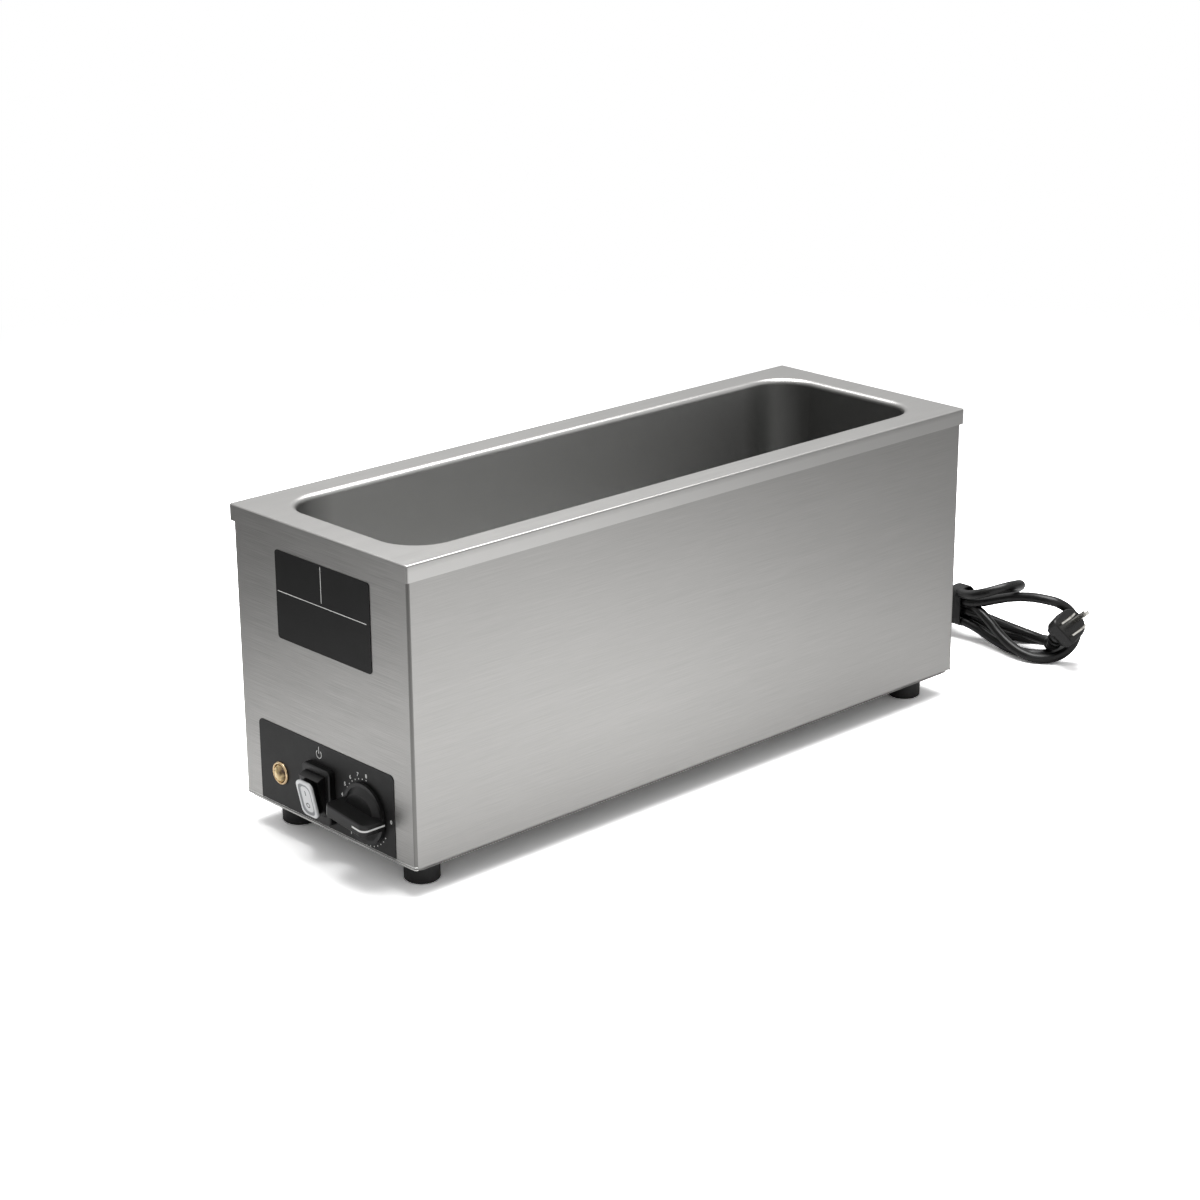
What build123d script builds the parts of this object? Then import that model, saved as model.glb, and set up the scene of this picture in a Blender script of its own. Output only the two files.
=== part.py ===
from build123d import *
from math import cos, hypot, radians, sin, tan
import os

# A countertop food warmer: one long, narrow drawn well in a folded stainless steel body, with its controls
# across the foot of one end and a mains cord at the other.
#
# Millimetres. Z is up from the surface that the feet stand on. Y runs along the body, from the control end
# to the back. X is to the right of someone who faces the controls. The model is drawn about the middle of
# the rim, and save() moves it so that the origin lies under the middle of the whole object.

# Body
rim_length = 552.0
rim_width = 192.0
overall_height = 235.0
skirt_height = 12.0
sheet = 0.9
skirt_gap = 0.95
rim_fold_radius = 1.2
rim_corner_radius = 1.6
wrap_bend_radius = 2.0
hem_width = 15.0
seam_gap = 0.3
seam_strip_width = 22.0

bracket_sheet = 1.2
bracket_drop = 25.0
bracket_shelf = 13.0
rim_stud_diameter = 4.0

# Well
well_length = 503.4
well_width = 144.3
well_depth = 160.0
well_corner_radius = 30.0
well_floor_radius = 18.0
well_mouth_radius = 4.0
well_draft = 1.5

# Foot of the body
foot_height = 19.8
foot_diameter = 25.2
foot_inset = 26.0
foot_recess_diameter = 11.0
foot_recess_depth = 6.0
foot_screw_diameter = 5.0
cover_screw_diameter = 3.5
cover_sheet = 1.0
cover_inset = 0.8
cover_corner_radius = 7.5
vent_length = 46.0
vent_width = 4.0
vent_pitch = 14.0
vent_count = 5

# Control end, with heights from the bottom of the wrap and distances out of its front face
control_row_height = 26.9
overlay_width = 148.9
overlay_height = 60.3
overlay_rise = 1.8
overlay_offset = -0.85
overlay_thickness = 0.5
overlay_corner_radius = 4.0
label_width = 102.0
label_height = 63.5
label_offset = 3.6
label_drop = 22.0
label_corner_radius = 2.5

pilot_x = -52.0
pilot_ring_diameter = 17.0
pilot_ring_depth = 1.6
pilot_body_diameter = 12.5
pilot_body_depth = 26.0
pilot_lens_diameter = 11.6
pilot_lens_rise = 2.4

switch_x = -5.0
switch_width = 30.0
switch_height = 40.6
switch_depth = 6.0
switch_corner_radius = 3.5
switch_case_width = 25.4
switch_case_height = 34.6
switch_case_depth = 26.0
rocker_width = 21.0
rocker_length = 27.6
rocker_face_depth = 9.3
rocker_pin_depth = 4.5
rocker_pin_rise = 1.0
rocker_pin_diameter = 3.0
rocker_pin_length = 1.5
rocker_room = 13.5
rocker_throw = 25.0
cap_width = 16.0
cap_length = 26.4
cap_thickness = 3.9
cap_recess_depth = 0.5
terminal_rows = (-10.0, 10.0)

knob_x = 43.4
knob_diameter = 43.0
knob_back = 1.3
knob_reach = 20.5
knob_hollow = 2.2
knob_bore_end = 14.0
knob_bar_thickness = 8.6
knob_rest_angle = -6.0
pointer_width = 1.4
pointer_length = 12.0
pointer_depth = 0.6
shaft_diameter = 6.0
shaft_depth = 14.0
thermostat_width = 44.0
thermostat_height = 36.0
thermostat_depth = 30.0
thermostat_screw_spacing = 28.0
thermostat_neck_diameter = 10.0
thermostat_screw_diameter = 4.0

# Heating
element_diameter = 6.5
element_length = 400.0
element_spread = 84.0
element_pin_diameter = 3.0
element_pin_length = 16.0
clamp_width = 16.0
clamp_thickness = 1.2
clamp_overhang = 16.0
clamp_count = 3
clamp_pitch = 120.0
stud_diameter = 5.0
shield_length = 436.0
shield_width = 124.0
shield_depth = 20.0
shield_sheet = 0.6
shield_floor_height = 24.0
pad_thickness = 16.0
blanket_thickness = 12.0
blanket_top_drop = 32.0
baffle_sheet = 0.8
baffle_setback = 42.0
baffle_foot = 12.0
baffle_side_gap = 1.0
bulb_diameter = 6.0
bulb_length = 90.0
bulb_x = 22.0
bulb_front = -105.0
capillary_diameter = 1.8
capillary_notch_x = 39.0
cutout_diameter = 16.0
cutout_y = -160.0

# Wiring
terminal_x = 44.0
terminal_y = 235.0
earth_x = 20.0
earth_y = 205.0
wire_diameter = 2.6

# Cord
cord_diameter = 8.0
cord_flats = 12
gland_x = -30.0
gland_height = 26.0
gland_reach = 12.0
gland_diameter = 22.0
gland_thread_diameter = 15.6
gland_neck = 9.0
gland_nut_across = 22.0
plug_width = 24.4
plug_flat_edge = 6.5
plug_round_centre = 9.5
plug_corner = 4.0
plug_slab = 10.0
plug_taper_length = 7.0
plug_taper = 32.0
grip_count = 3
grip_pitch = 2.8
grip_length = 13.0
relief_core = 10.5
relief_ring_diameter = 14.0
relief_ring_step = 0.6
relief_ring_width = 3.2
relief_rings = 5
blade_spacing = 12.7
blade_width = 6.3
blade_thickness = 1.5
blade_length = 16.0
blade_hole = 3.1
blade_hole_place = 11.7
earth_pin_diameter = 4.8
earth_pin_drop = 11.9
earth_pin_length = 18.0
tie_width = 12.0
tie_x = 14.0

# Clearances
running_clearance = 0.05
fit_clearance = 0.3
lay_clearance = 0.1

wrap_bottom = foot_height + cover_sheet
rim_top = overall_height
rim_underside = rim_top - sheet
wrap_width = rim_width - 2 * (sheet + skirt_gap)
wrap_length = rim_length - 2 * (sheet + skirt_gap)
front_y = -wrap_length / 2
back_y = wrap_length / 2
front_inside_y = front_y + sheet
well_underside = rim_top - well_depth - sheet
control_row_z = wrap_bottom + control_row_height
foot_places = [(sx * (wrap_width / 2 - foot_inset), sy * (wrap_length / 2 - foot_inset))
               for sx in (-1, 1) for sy in (-1, 1)]
cover_screw_places = [(sx * (wrap_width / 2 - hem_width / 2), y) for sx in (-1, 1)
                      for y in (front_y + baffle_setback + baffle_foot / 2, 0, back_y - 62)]
rim_bracket_places = [(sx * (wrap_width / 2 - sheet - 7), sy * wrap_length / 3)
                      for sx in (-1, 1) for sy in (-1, 1)]
thermostat_screw_places = [knob_x - thermostat_screw_spacing / 2, knob_x + thermostat_screw_spacing / 2]
rocker_end_radius = hypot(rocker_length / 2, rocker_face_depth - rocker_pin_depth)
element_z = well_underside - lay_clearance - element_diameter / 2
clamp_places = [(i - (clamp_count - 1) / 2) * clamp_pitch for i in range(clamp_count)]
shield_z = wrap_bottom + shield_floor_height
bulb_z = well_underside - lay_clearance - bulb_diameter / 2
gland_z = wrap_bottom + gland_height
gland_place = Plane(origin=(gland_x, back_y, gland_z), x_dir=(1, 0, 0), z_dir=(0, 1, 0)).location
middle_shift = (knob_reach - gland_reach) / 2

# Routes, chosen by hand: the wires under the heat shield, the cord inside the body and the cord behind it
switch_back_y = front_y + switch_case_depth + 7.2
live_route = [(terminal_x + 8, terminal_y - 9, 30), (terminal_x + 8, terminal_y - 20, 30), (68, 190, 31),
              (76, 160, 30), (76, front_y + 60.15, 30), (66, switch_back_y, 33),
              (switch_x + 3.3, switch_back_y, control_row_z + terminal_rows[0])]
neutral_route = [(terminal_x, terminal_y - 9, 30), (terminal_x, terminal_y - 20, 30), (60, 180, 31),
                 (72, 140, 30), (72, front_y + 62.15, 30), (64, switch_back_y, 52),
                 (switch_x + 3.3, switch_back_y, control_row_z + terminal_rows[1])]
earth_route = [(terminal_x - 9, terminal_y - 9, 27), (terminal_x - 9, terminal_y - 20, 27),
               (earth_x + 12, earth_y, wrap_bottom + 3), (earth_x + 4.7, earth_y, wrap_bottom + 3)]
inside_route = [(gland_x, back_y, gland_z), (gland_x, back_y - 21, gland_z), (-17, 238, 38),
                (6, terminal_y, 29), (terminal_x - 16, terminal_y, 29)]
cord_route = [(gland_x, back_y, gland_z), (gland_x, back_y + 27, gland_z), (-33, 326, 38),
              (-42, 345, 22), (-60, 355, 8.5), (-80, 361, 5)]
relief_route = [(118.1, 382, 31), (111.5, 385.5, 23.5), (105.5, 391.5, 16.5), (97, 397, 12.5)]

# The hank's shape at places along it: x, middle y and z, half width and half height
hank_sections = [(-96, 386, 8, 18, 8), (-80, 386, 13, 35, 13), (-52, 386, 14, 33, 14),
                 (tie_x - tie_width / 2 - 2, 383, 29, 10, 15), (tie_x + tie_width / 2 + 2, 383, 29, 10, 15),
                 (40, 389, 29, 29, 29), (66, 392, 31, 33, 31), (100, 397, 29, 28, 29), (123, 399, 30, 9, 20)]
tie_section = 3
plug_plane = Plane(origin=(130.1, 375.75, 39.2), x_dir=(0.641, 0.323, -0.694), z_dir=(0.754, -0.102, 0.649))
plug_place = plug_plane.location


def save(name, shape):
    """Write one sub-part, with the origin under the middle of the whole object."""
    export_step(Pos(0, middle_shift, 0) * shape, f"parts/{name}.step")


def group(solids):
    """Several like pieces in one sub-part."""
    return Compound(solids)


def block(x, y, z):
    """A box between two values on each axis."""
    size = [high - low for low, high in (x, y, z)]
    middle = [(high + low) / 2 for low, high in (x, y, z)]
    return Pos(*middle) * Box(*size)


def rod(diameter, low, high, x=0.0, y=0.0):
    """An upright cylinder between two heights."""
    return Pos(x, y, (low + high) / 2) * Cylinder(diameter / 2, high - low)


def small_rod(diameter, low, high, x=0.0, y=0.0):
    """An upright bar with eight flats, for the small hidden screws and studs and for their holes."""
    return Pos(x, y, low) * extrude(RegularPolygon(diameter / 2, 8), amount=high - low)


def hexagon(across, thickness, x, y, top, bore=0.0):
    """A nut, or with no bore a screw's head, whose upper face is at top."""
    solid = Pos(x, y, top) * extrude(RegularPolygon(across / 2, 6, major_radius=False), amount=-thickness)
    return solid - small_rod(bore, top - thickness, top, x, y) if bore else solid


def on_front(x, z, distance=0.0):
    """The place on the control face at x and z, whose own Z points out of the face and Y points up."""
    return Plane(origin=(x, front_y - distance, z), x_dir=(1, 0, 0), z_dir=(0, -1, 0)).location


def tube(points, diameter, largest_arc=1000.0, flats=0):
    """A tube along straight runs joined by tangent arcs, as large as the runs allow.

    It is round, or has flats, as the hidden wires and pipes do."""
    points = [Vector(*p) for p in points]
    radii = []
    for before, here, after in zip(points, points[1:], points[2:]):
        half_turn = radians((here - before).get_angle(after - here)) / 2
        shorter = min((here - before).length, (after - here).length)
        radii.append(min(0.45 * shorter / tan(half_turn), largest_arc))
    path = FilletPolyline(*points, radius=radii)
    start = Plane(origin=path @ 0, z_dir=path % 0)
    section = RegularPolygon(diameter / 2, flats) if flats else Circle(diameter / 2)
    return sweep(start * section, path=path), radii, path.length


def at_baffle(route):
    """The places where a route passes the baffle's wall."""
    y = front_y + baffle_setback + baffle_sheet / 2
    crossings = [(a, b) for a, b in zip(route, route[1:]) if (a[1] - y) * (b[1] - y) < 0]
    return [tuple(p + (q - p) * (y - a[1]) / (b[1] - a[1]) for p, q in zip(a, b)) for a, b in crossings]


# ---- Body ----

def well_form(offset, depth):
    """The drawn well as a solid, its walls moved out by offset and its floor at depth under the rim."""
    mouth = RectangleRounded(well_width + 2 * offset, well_length + 2 * offset, well_corner_radius + offset)
    form = extrude(Pos(0, 0, rim_top) * mouth, amount=-depth, taper=well_draft)
    return fillet(form.faces().sort_by(Axis.Z)[0].edges(), well_floor_radius + offset)


def mouth_edges(pressing, height):
    """The edges round the well's mouth at one height, without those of the rim's outside."""
    level = pressing.edges().filter_by_position(Axis.Z, height - 0.05, height + 0.05)
    return [edge for edge in level if abs(edge.center().X) < well_width / 2 + 2
            and abs(edge.center().Y) < well_length / 2 + 2]


def make_well():
    """The well, its flat rim and the turned-down skirt, pressed from one sheet."""
    outer = extrude(Pos(0, 0, rim_top) * RectangleRounded(rim_width, rim_length, rim_corner_radius),
                    amount=-skirt_height)
    outer = fillet(outer.faces().sort_by(Axis.Z)[-1].edges(), rim_fold_radius)
    inner = extrude(Pos(0, 0, rim_underside) * Rectangle(rim_width - 2 * sheet, rim_length - 2 * sheet),
                    amount=-skirt_height)
    pressing = outer - inner + well_form(sheet, well_depth + sheet)
    pressing = chamfer(mouth_edges(pressing, rim_underside), well_mouth_radius - sheet)
    pressing -= well_form(0, well_depth)
    return fillet(mouth_edges(pressing, rim_top), well_mouth_radius)


def make_wrap():
    """The folded body: four walls with bent corners, a hem turned in at the foot and a seam at the back."""
    height = rim_underside - wrap_bottom
    outer = Pos(0, 0, wrap_bottom) * extrude(RectangleRounded(wrap_width, wrap_length, wrap_bend_radius),
                                             amount=height)
    outer = fillet(outer.faces().sort_by(Axis.Z)[0].edges(), wrap_bend_radius - 0.4)
    inner = Pos(0, 0, wrap_bottom + sheet) * extrude(
        RectangleRounded(wrap_width - 2 * sheet, wrap_length - 2 * sheet, wrap_bend_radius - sheet),
        amount=height)
    open_foot = Rectangle(wrap_width - 2 * hem_width, wrap_length - 2 * hem_width)
    wrap = outer - inner - Pos(0, 0, wrap_bottom) * extrude(open_foot, amount=2 * sheet)
    seam = block((-seam_gap / 2, seam_gap / 2), (back_y - hem_width - 1, back_y + 1), (0, rim_top))
    hem_holes = [small_rod(cover_screw_diameter, 0, wrap_bottom + 2 * sheet, x, y)
                 for x, y in cover_screw_places]
    return wrap - seam - hem_holes - gland_hole() - front_holes()


def front_holes():
    """What the controls need cut in the control face and in its overlay."""
    reach = 4.0
    pilot = on_front(pilot_x, control_row_z) * Cylinder(pilot_body_diameter / 2 + fit_clearance, reach)
    case = Rectangle(switch_case_width + 2 * fit_clearance, switch_case_height + 2 * fit_clearance)
    switch = on_front(switch_x, control_row_z, -reach / 2) * extrude(case, amount=reach)
    neck = on_front(knob_x, control_row_z) * Cylinder(thermostat_neck_diameter / 2 + fit_clearance, reach)
    screw_hole = small_rod(thermostat_screw_diameter + 2 * lay_clearance, -reach / 2, reach / 2)
    screws = [on_front(x, control_row_z) * screw_hole for x in thermostat_screw_places]
    return [pilot, switch, neck, *screws]


def gland_hole():
    """The hole that the cord's strain relief is fixed in."""
    hole = Cylinder(gland_thread_diameter / 2 + lay_clearance, 8)
    return Pos(gland_x, back_y, gland_z) * Rot(90, 0, 0) * hole


def make_seam_strip():
    """The strip spot-welded inside the back wall, behind the seam."""
    y = (back_y - 2 * sheet, back_y - sheet)
    return block((-seam_strip_width / 2, seam_strip_width / 2), y, (wrap_bottom + 6, rim_underside - 8))


def make_bottom_cover():
    """The flat plate that closes the foot of the body, with vent slots under the heating space."""
    plate = RectangleRounded(wrap_width - 2 * cover_inset, wrap_length - 2 * cover_inset,
                             cover_corner_radius)
    vents = [Pos(sx * wrap_width / 4, sy * wrap_length / 4 + (i - (vent_count - 1) / 2) * vent_pitch)
             * Rectangle(vent_length, vent_width)
             for sx in (-1, 1) for sy in (-1, 1) for i in range(vent_count)]
    foot_holes = [Pos(x, y) * RegularPolygon(foot_screw_diameter / 2 + lay_clearance, 8)
                  for x, y in foot_places]
    screw_holes = [Pos(x, y) * RegularPolygon(cover_screw_diameter / 2, 8) for x, y in cover_screw_places]
    return Pos(0, 0, foot_height) * extrude(plate - vents - foot_holes - screw_holes, amount=cover_sheet)


def make_cover_screws():
    """Self-tapping screws up through the cover and the hem."""
    top = wrap_bottom + sheet + 5
    screws = []
    for x, y in cover_screw_places:
        head = hexagon(5.5, 2.2, x, y, foot_height)
        screws.append(head + small_rod(cover_screw_diameter, foot_height, top, x, y))
    return group(screws)


def make_feet():
    """Four moulded rubber feet, each with a counterbore from below for its screw."""
    feet = []
    for x, y in foot_places:
        foot = rod(foot_diameter, 0, foot_height, x, y)
        foot = chamfer(foot.edges().sort_by(Axis.Z)[0], 1.0)
        foot -= rod(foot_recess_diameter, 0, foot_recess_depth, x, y)
        feet.append(foot - small_rod(foot_screw_diameter + 2 * lay_clearance, 0, foot_height, x, y))
    return group(feet)


def make_foot_screws():
    """Pan-head screws that hold the feet."""
    screws = []
    for x, y in foot_places:
        head = rod(9.0, foot_recess_depth - 3.5, foot_recess_depth, x, y)
        screws.append(head + small_rod(foot_screw_diameter, foot_recess_depth, wrap_bottom + 6, x, y))
    return group(screws)


def make_foot_nuts():
    """The nuts on the foot screws, on top of the cover."""
    return group([hexagon(8, 4, x, y, wrap_bottom + 4, foot_screw_diameter)
                  for x, y in foot_places])


def make_rim_brackets():
    """Four angles welded inside the wrap, which carry the rim of the well."""
    wall = wrap_width / 2 - sheet
    brackets = []
    for x, y in rim_bracket_places:
        side = 1 if x > 0 else -1
        upright = block(sorted((side * wall, side * (wall - bracket_sheet))), (y - 15, y + 15),
                        (rim_underside - bracket_drop, rim_underside))
        shelf = block(sorted((side * wall, side * (wall - bracket_shelf))), (y - 15, y + 15),
                      (rim_underside - bracket_sheet, rim_underside))
        hole = small_rod(rim_stud_diameter + 2 * lay_clearance, rim_underside - 5, rim_underside, x, y)
        brackets.append(upright + shelf - hole)
    return group(brackets)


def make_rim_studs():
    """Studs welded under the rim, one through each bracket."""
    return group([small_rod(rim_stud_diameter, rim_underside - 10, rim_underside, x, y)
                  for x, y in rim_bracket_places])


def make_rim_nuts():
    """The nuts that draw the rim down on its brackets."""
    return group([hexagon(7, 3.2, x, y, rim_underside - bracket_sheet, rim_stud_diameter)
                  for x, y in rim_bracket_places])


# ---- Control end ----

def make_overlay():
    """The thin panel stuck on the control face behind the controls."""
    outline = Rectangle(overlay_width, overlay_height)
    outline = fillet(outline.vertices().group_by(Axis.Y)[-1], overlay_corner_radius)
    outline = fillet(outline.vertices().group_by(Axis.Y)[0], 0.6)
    middle = on_front(overlay_offset, wrap_bottom + overlay_rise + overlay_height / 2)
    return middle * extrude(outline, amount=overlay_thickness) - front_holes()


def make_label_plate():
    """The plate stuck on the upper part of the control face."""
    middle = on_front(label_offset, rim_top - label_drop - label_height / 2)
    return middle * extrude(RectangleRounded(label_width, label_height, label_corner_radius),
                            amount=overlay_thickness)


def make_pilot_bezel():
    """The bright ring round the pilot light."""
    ring = Cylinder(pilot_ring_diameter / 2, pilot_ring_depth)
    ring = chamfer(ring.edges().sort_by(Axis.Z)[-1], 0.5)
    ring -= Cylinder(pilot_lens_diameter / 2, pilot_ring_depth)
    return on_front(pilot_x, control_row_z, overlay_thickness + pilot_ring_depth / 2) * ring


def make_pilot_lens():
    """The lens: a plug in the ring with a faceted front."""
    radius = pilot_lens_diameter / 2
    stem = Pos(0, 0, pilot_ring_depth / 2) * Cylinder(radius, pilot_ring_depth)
    half_rise = pilot_lens_rise / 2
    low_facets = extrude(RegularPolygon(radius, 12), amount=half_rise, taper=45)
    crown = low_facets.faces().sort_by(Axis.Z)[-1]
    high_facets = extrude(crown, amount=half_rise, taper=68)
    lens = stem + Pos(0, 0, pilot_ring_depth) * (low_facets + high_facets)
    return on_front(pilot_x, control_row_z, overlay_thickness) * lens


def make_pilot_body():
    """The lamp's barrel behind the panel, with its two tabs."""
    barrel = Cylinder(pilot_body_diameter / 2, pilot_body_depth + overlay_thickness)
    barrel = Pos(0, 0, (overlay_thickness - pilot_body_depth) / 2) * barrel
    tabs = [Pos(x, 0, -pilot_body_depth - 3.5) * Box(0.8, 4.8, 7) for x in (-3, 3)]
    return on_front(pilot_x, control_row_z) * (barrel + tabs)


def make_pilot_clip():
    """The push-on clip that holds the lamp behind the panel."""
    clip = Box(pilot_ring_diameter + 2, pilot_ring_diameter + 2, 0.6)
    clip -= Cylinder(pilot_body_diameter / 2, 0.6)
    return on_front(pilot_x, control_row_z, -sheet - 0.3) * clip


def make_switch_body():
    """The switch's moulded frame and case, open in front for the rocker, with its pin holes."""
    frame_depth = switch_depth - overlay_thickness
    frame = extrude(RectangleRounded(switch_width, switch_height, switch_corner_radius), amount=frame_depth)
    frame = chamfer(frame.faces().sort_by(Axis.Z)[-1].edges(), 0.8)
    case = extrude(Rectangle(switch_case_width, switch_case_height),
                   amount=switch_case_depth + overlay_thickness)
    body = Pos(0, 0, overlay_thickness) * frame + Pos(0, 0, -switch_case_depth) * case
    room = Box(rocker_width + 2 * fit_clearance, 2 * (rocker_end_radius + fit_clearance), 2 * rocker_room)
    pin_hole = Rot(0, 90, 0) * Cylinder(rocker_pin_diameter / 2 + running_clearance,
                                        rocker_width + 2 * (rocker_pin_length + fit_clearance))
    body -= Pos(0, rocker_pin_rise, rocker_pin_depth) * (room + pin_hole)
    return on_front(switch_x, control_row_z) * body


def make_switch_terminals():
    """The blades at the back of the switch."""
    blades = [Pos(0, y, -switch_case_depth - 4) * Box(6.3, 0.8, 8) for y in terminal_rows]
    return group([on_front(switch_x, control_row_z) * blade for blade in blades])


def rocker_place():
    """The rocker's pin axis in the rest position: pressed in at its foot, so the top stands out."""
    pin = on_front(switch_x, control_row_z + rocker_pin_rise, rocker_pin_depth)
    return pin * Rot(rocker_throw / 2, 0, 0)


def make_rocker():
    """The rocker: flat in front, its ends round about its pin."""
    front = rocker_face_depth - rocker_pin_depth
    back = -3.0
    section = Circle(rocker_end_radius) & Pos(0, (front + back) / 2) * Rectangle(60, front - back)
    body = extrude(Plane.YZ.offset(-rocker_width / 2) * section, amount=rocker_width)
    pin = Rot(0, 90, 0) * Cylinder(rocker_pin_diameter / 2, rocker_width + 2 * rocker_pin_length)
    return rocker_place() * (body + pin)


def make_rocker_cap():
    """The pale cap on the rocker, with an oval recess for its two marks."""
    cap = extrude(RectangleRounded(cap_width, cap_length, 2.2), amount=cap_thickness)
    cap = chamfer(cap.faces().sort_by(Axis.Z)[-1].edges(), 0.9)
    recess = extrude(Rot(0, 0, 90) * SlotOverall(20, 9), amount=2)
    cap -= Pos(0, 0, cap_thickness - cap_recess_depth) * recess
    return rocker_place() * Pos(0, 0, rocker_face_depth - rocker_pin_depth) * cap


def make_thermostat():
    """The thermostat's case behind the panel, with the neck that its shaft turns in."""
    case = extrude(Rectangle(thermostat_width, thermostat_height), amount=thermostat_depth)
    neck = extrude(Circle(thermostat_neck_diameter / 2), amount=sheet + overlay_thickness)
    neck = Pos(0, 0, thermostat_depth) * neck
    bore = Cylinder(shaft_diameter / 2 + running_clearance, shaft_depth)
    bore = Pos(0, 0, overlay_thickness - shaft_depth / 2) * bore
    body = Pos(0, 0, -sheet - thermostat_depth) * (case + neck) - bore
    body -= [small_rod(thermostat_screw_diameter, -8, 0, x - knob_x) for x in thermostat_screw_places]
    return on_front(knob_x, control_row_z) * body


def make_thermostat_screws():
    """Two screws through the panel into the thermostat, hidden by the knob."""
    screw = small_rod(thermostat_screw_diameter, -7, overlay_thickness)
    screw += small_rod(7.0, overlay_thickness, overlay_thickness + 2)
    return group([on_front(x, control_row_z) * screw for x in thermostat_screw_places])


def knob_place():
    """The knob's axis in the rest position."""
    return on_front(knob_x, control_row_z) * Rot(0, 0, knob_rest_angle)


def d_shaft(diameter, low, high):
    """A shaft with a flat along one side."""
    flat = Pos(0, diameter / 2 + diameter / 4, (low + high) / 2) * Box(diameter, diameter, high - low)
    return Pos(0, 0, (low + high) / 2) * Cylinder(diameter / 2, high - low) - flat


def make_shaft():
    """The thermostat's shaft: round in the neck, flatted where the knob grips it."""
    low = overlay_thickness - shaft_depth + fit_clearance
    round_part = Pos(0, 0, (low + knob_back) / 2) * Cylinder(shaft_diameter / 2, knob_back - low)
    return knob_place() * (round_part + d_shaft(shaft_diameter, knob_back, knob_bore_end))


def bar_outline():
    """The grip of the knob from the side: full diameter, with rounded shoulders."""
    outline = Pos(0, (knob_back + knob_reach) / 2) * Rectangle(knob_diameter, knob_reach - knob_back)
    return fillet(outline.vertices().group_by(Axis.Y)[-1], 5.0)


def make_knob():
    """The knob and its inlaid pointer line: a low round skirt, a wide bar across it and a hollow back."""
    radius = knob_diameter / 2
    skirt = Polyline((0, knob_back), (radius, knob_back), (radius, knob_back + 2.5),
                     (radius - 2.4, knob_back + 2.5), (radius - 6.5, knob_back + 5.7), (0, knob_back + 5.7),
                     close=True)
    skirt = revolve(Plane.XZ * make_face(skirt), Axis.Z)
    half_bar = knob_bar_thickness / 2
    bar = Pos(0, half_bar, 0) * Rot(90, 0, 0) * extrude(bar_outline(), amount=knob_bar_thickness)
    bar = chamfer(bar.edges().filter_by(GeomType.LINE).filter_by(Axis.X).group_by(Axis.Z)[-1], 0.7)
    knob = skirt + (bar & Cylinder(radius, 4 * knob_reach))
    hollow = Pos(0, 0, knob_back + knob_hollow / 2) * Cylinder(radius - 3.5, knob_hollow)
    core_top = knob_reach - 2.6
    core = Box(knob_diameter - 9, knob_bar_thickness - 3.4, core_top - knob_back)
    hollow += Pos(0, 0, (knob_back + core_top) / 2) * core
    hollow -= Pos(0, 0, knob_reach / 2 + 0.5) * Cylinder(6.4, knob_reach)
    knob -= hollow
    knob -= d_shaft(shaft_diameter, 0, knob_bore_end + fit_clearance)
    band = bar_outline() - offset(bar_outline(), -pointer_depth)
    band = Pos(0, pointer_width / 2, 0) * Rot(90, 0, 0) * extrude(band, amount=pointer_width)
    line_end = Box(2 * pointer_length, 10, 2 * knob_reach)
    band &= Pos(radius, 0, knob_back + knob_reach + pointer_depth) * line_end
    pointer = band & knob
    return knob_place() * (knob - band), knob_place() * pointer


# ---- Heating ----

def make_element():
    """The sheathed heating element, one hairpin clamped under the well, with its two cold pins."""
    side = element_spread / 2
    front = -element_length / 2
    points = [(-12, front - 22, element_z), (-12, front - 4, element_z), (-side, front + 22, element_z),
              (-side, -front, element_z), (side, -front, element_z), (side, front + 22, element_z),
              (12, front - 4, element_z), (12, front - 22, element_z)]
    sheath = tube(points, element_diameter, largest_arc=side - 4, flats=8)[0]
    pins = [Pos(x, front - 22 - element_pin_length / 2, element_z) * Rot(90, 0, 0)
            * Cylinder(element_pin_diameter / 2, element_pin_length) for x in (-12, 12)]
    return sheath + pins


def make_clamp_bars():
    """Flat bars that press the element against the well."""
    top = element_z - element_diameter / 2 - lay_clearance
    reach = element_spread / 2 + clamp_overhang
    bars = []
    for y in clamp_places:
        bar = block((-reach, reach), (y - clamp_width / 2, y + clamp_width / 2),
                    (top - clamp_thickness, top))
        bars.append(bar - small_rod(stud_diameter + 2 * lay_clearance, 0, top, 0, y))
    return group(bars)


def make_studs():
    """Studs welded under the well, long enough to carry the heat shield as well."""
    return group([small_rod(stud_diameter, shield_z - 5.5, well_underside, 0, y) for y in clamp_places])


def make_clamp_nuts():
    """The nuts under the clamp bars."""
    top = element_z - element_diameter / 2 - lay_clearance - clamp_thickness
    return group([hexagon(8, 4, 0, y, top, stud_diameter) for y in clamp_places])


def make_shield_nuts():
    """The nuts under the heat shield."""
    return group([hexagon(8, 4, 0, y, shield_z, stud_diameter) for y in clamp_places])


def make_heat_shield():
    """The tray hung under the element."""
    tray = extrude(RectangleRounded(shield_width, shield_length, 6), amount=shield_depth)
    room = extrude(RectangleRounded(shield_width - 2 * shield_sheet, shield_length - 2 * shield_sheet,
                                    6 - shield_sheet), amount=shield_depth)
    tray = Pos(0, 0, shield_z) * (tray - Pos(0, 0, shield_sheet) * room)
    return tray - [small_rod(stud_diameter + 2 * lay_clearance, 0, rim_top, 0, y) for y in clamp_places]


def make_insulation_pad():
    """The pad that lies in the heat shield."""
    inset = shield_sheet + fit_clearance
    outline = RectangleRounded(shield_width - 2 * inset, shield_length - 2 * inset, 5)
    pad = Pos(0, 0, shield_z + shield_sheet) * extrude(outline, amount=pad_thickness)
    return pad - [small_rod(stud_diameter + 1, 0, rim_top, 0, y) for y in clamp_places]


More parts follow.
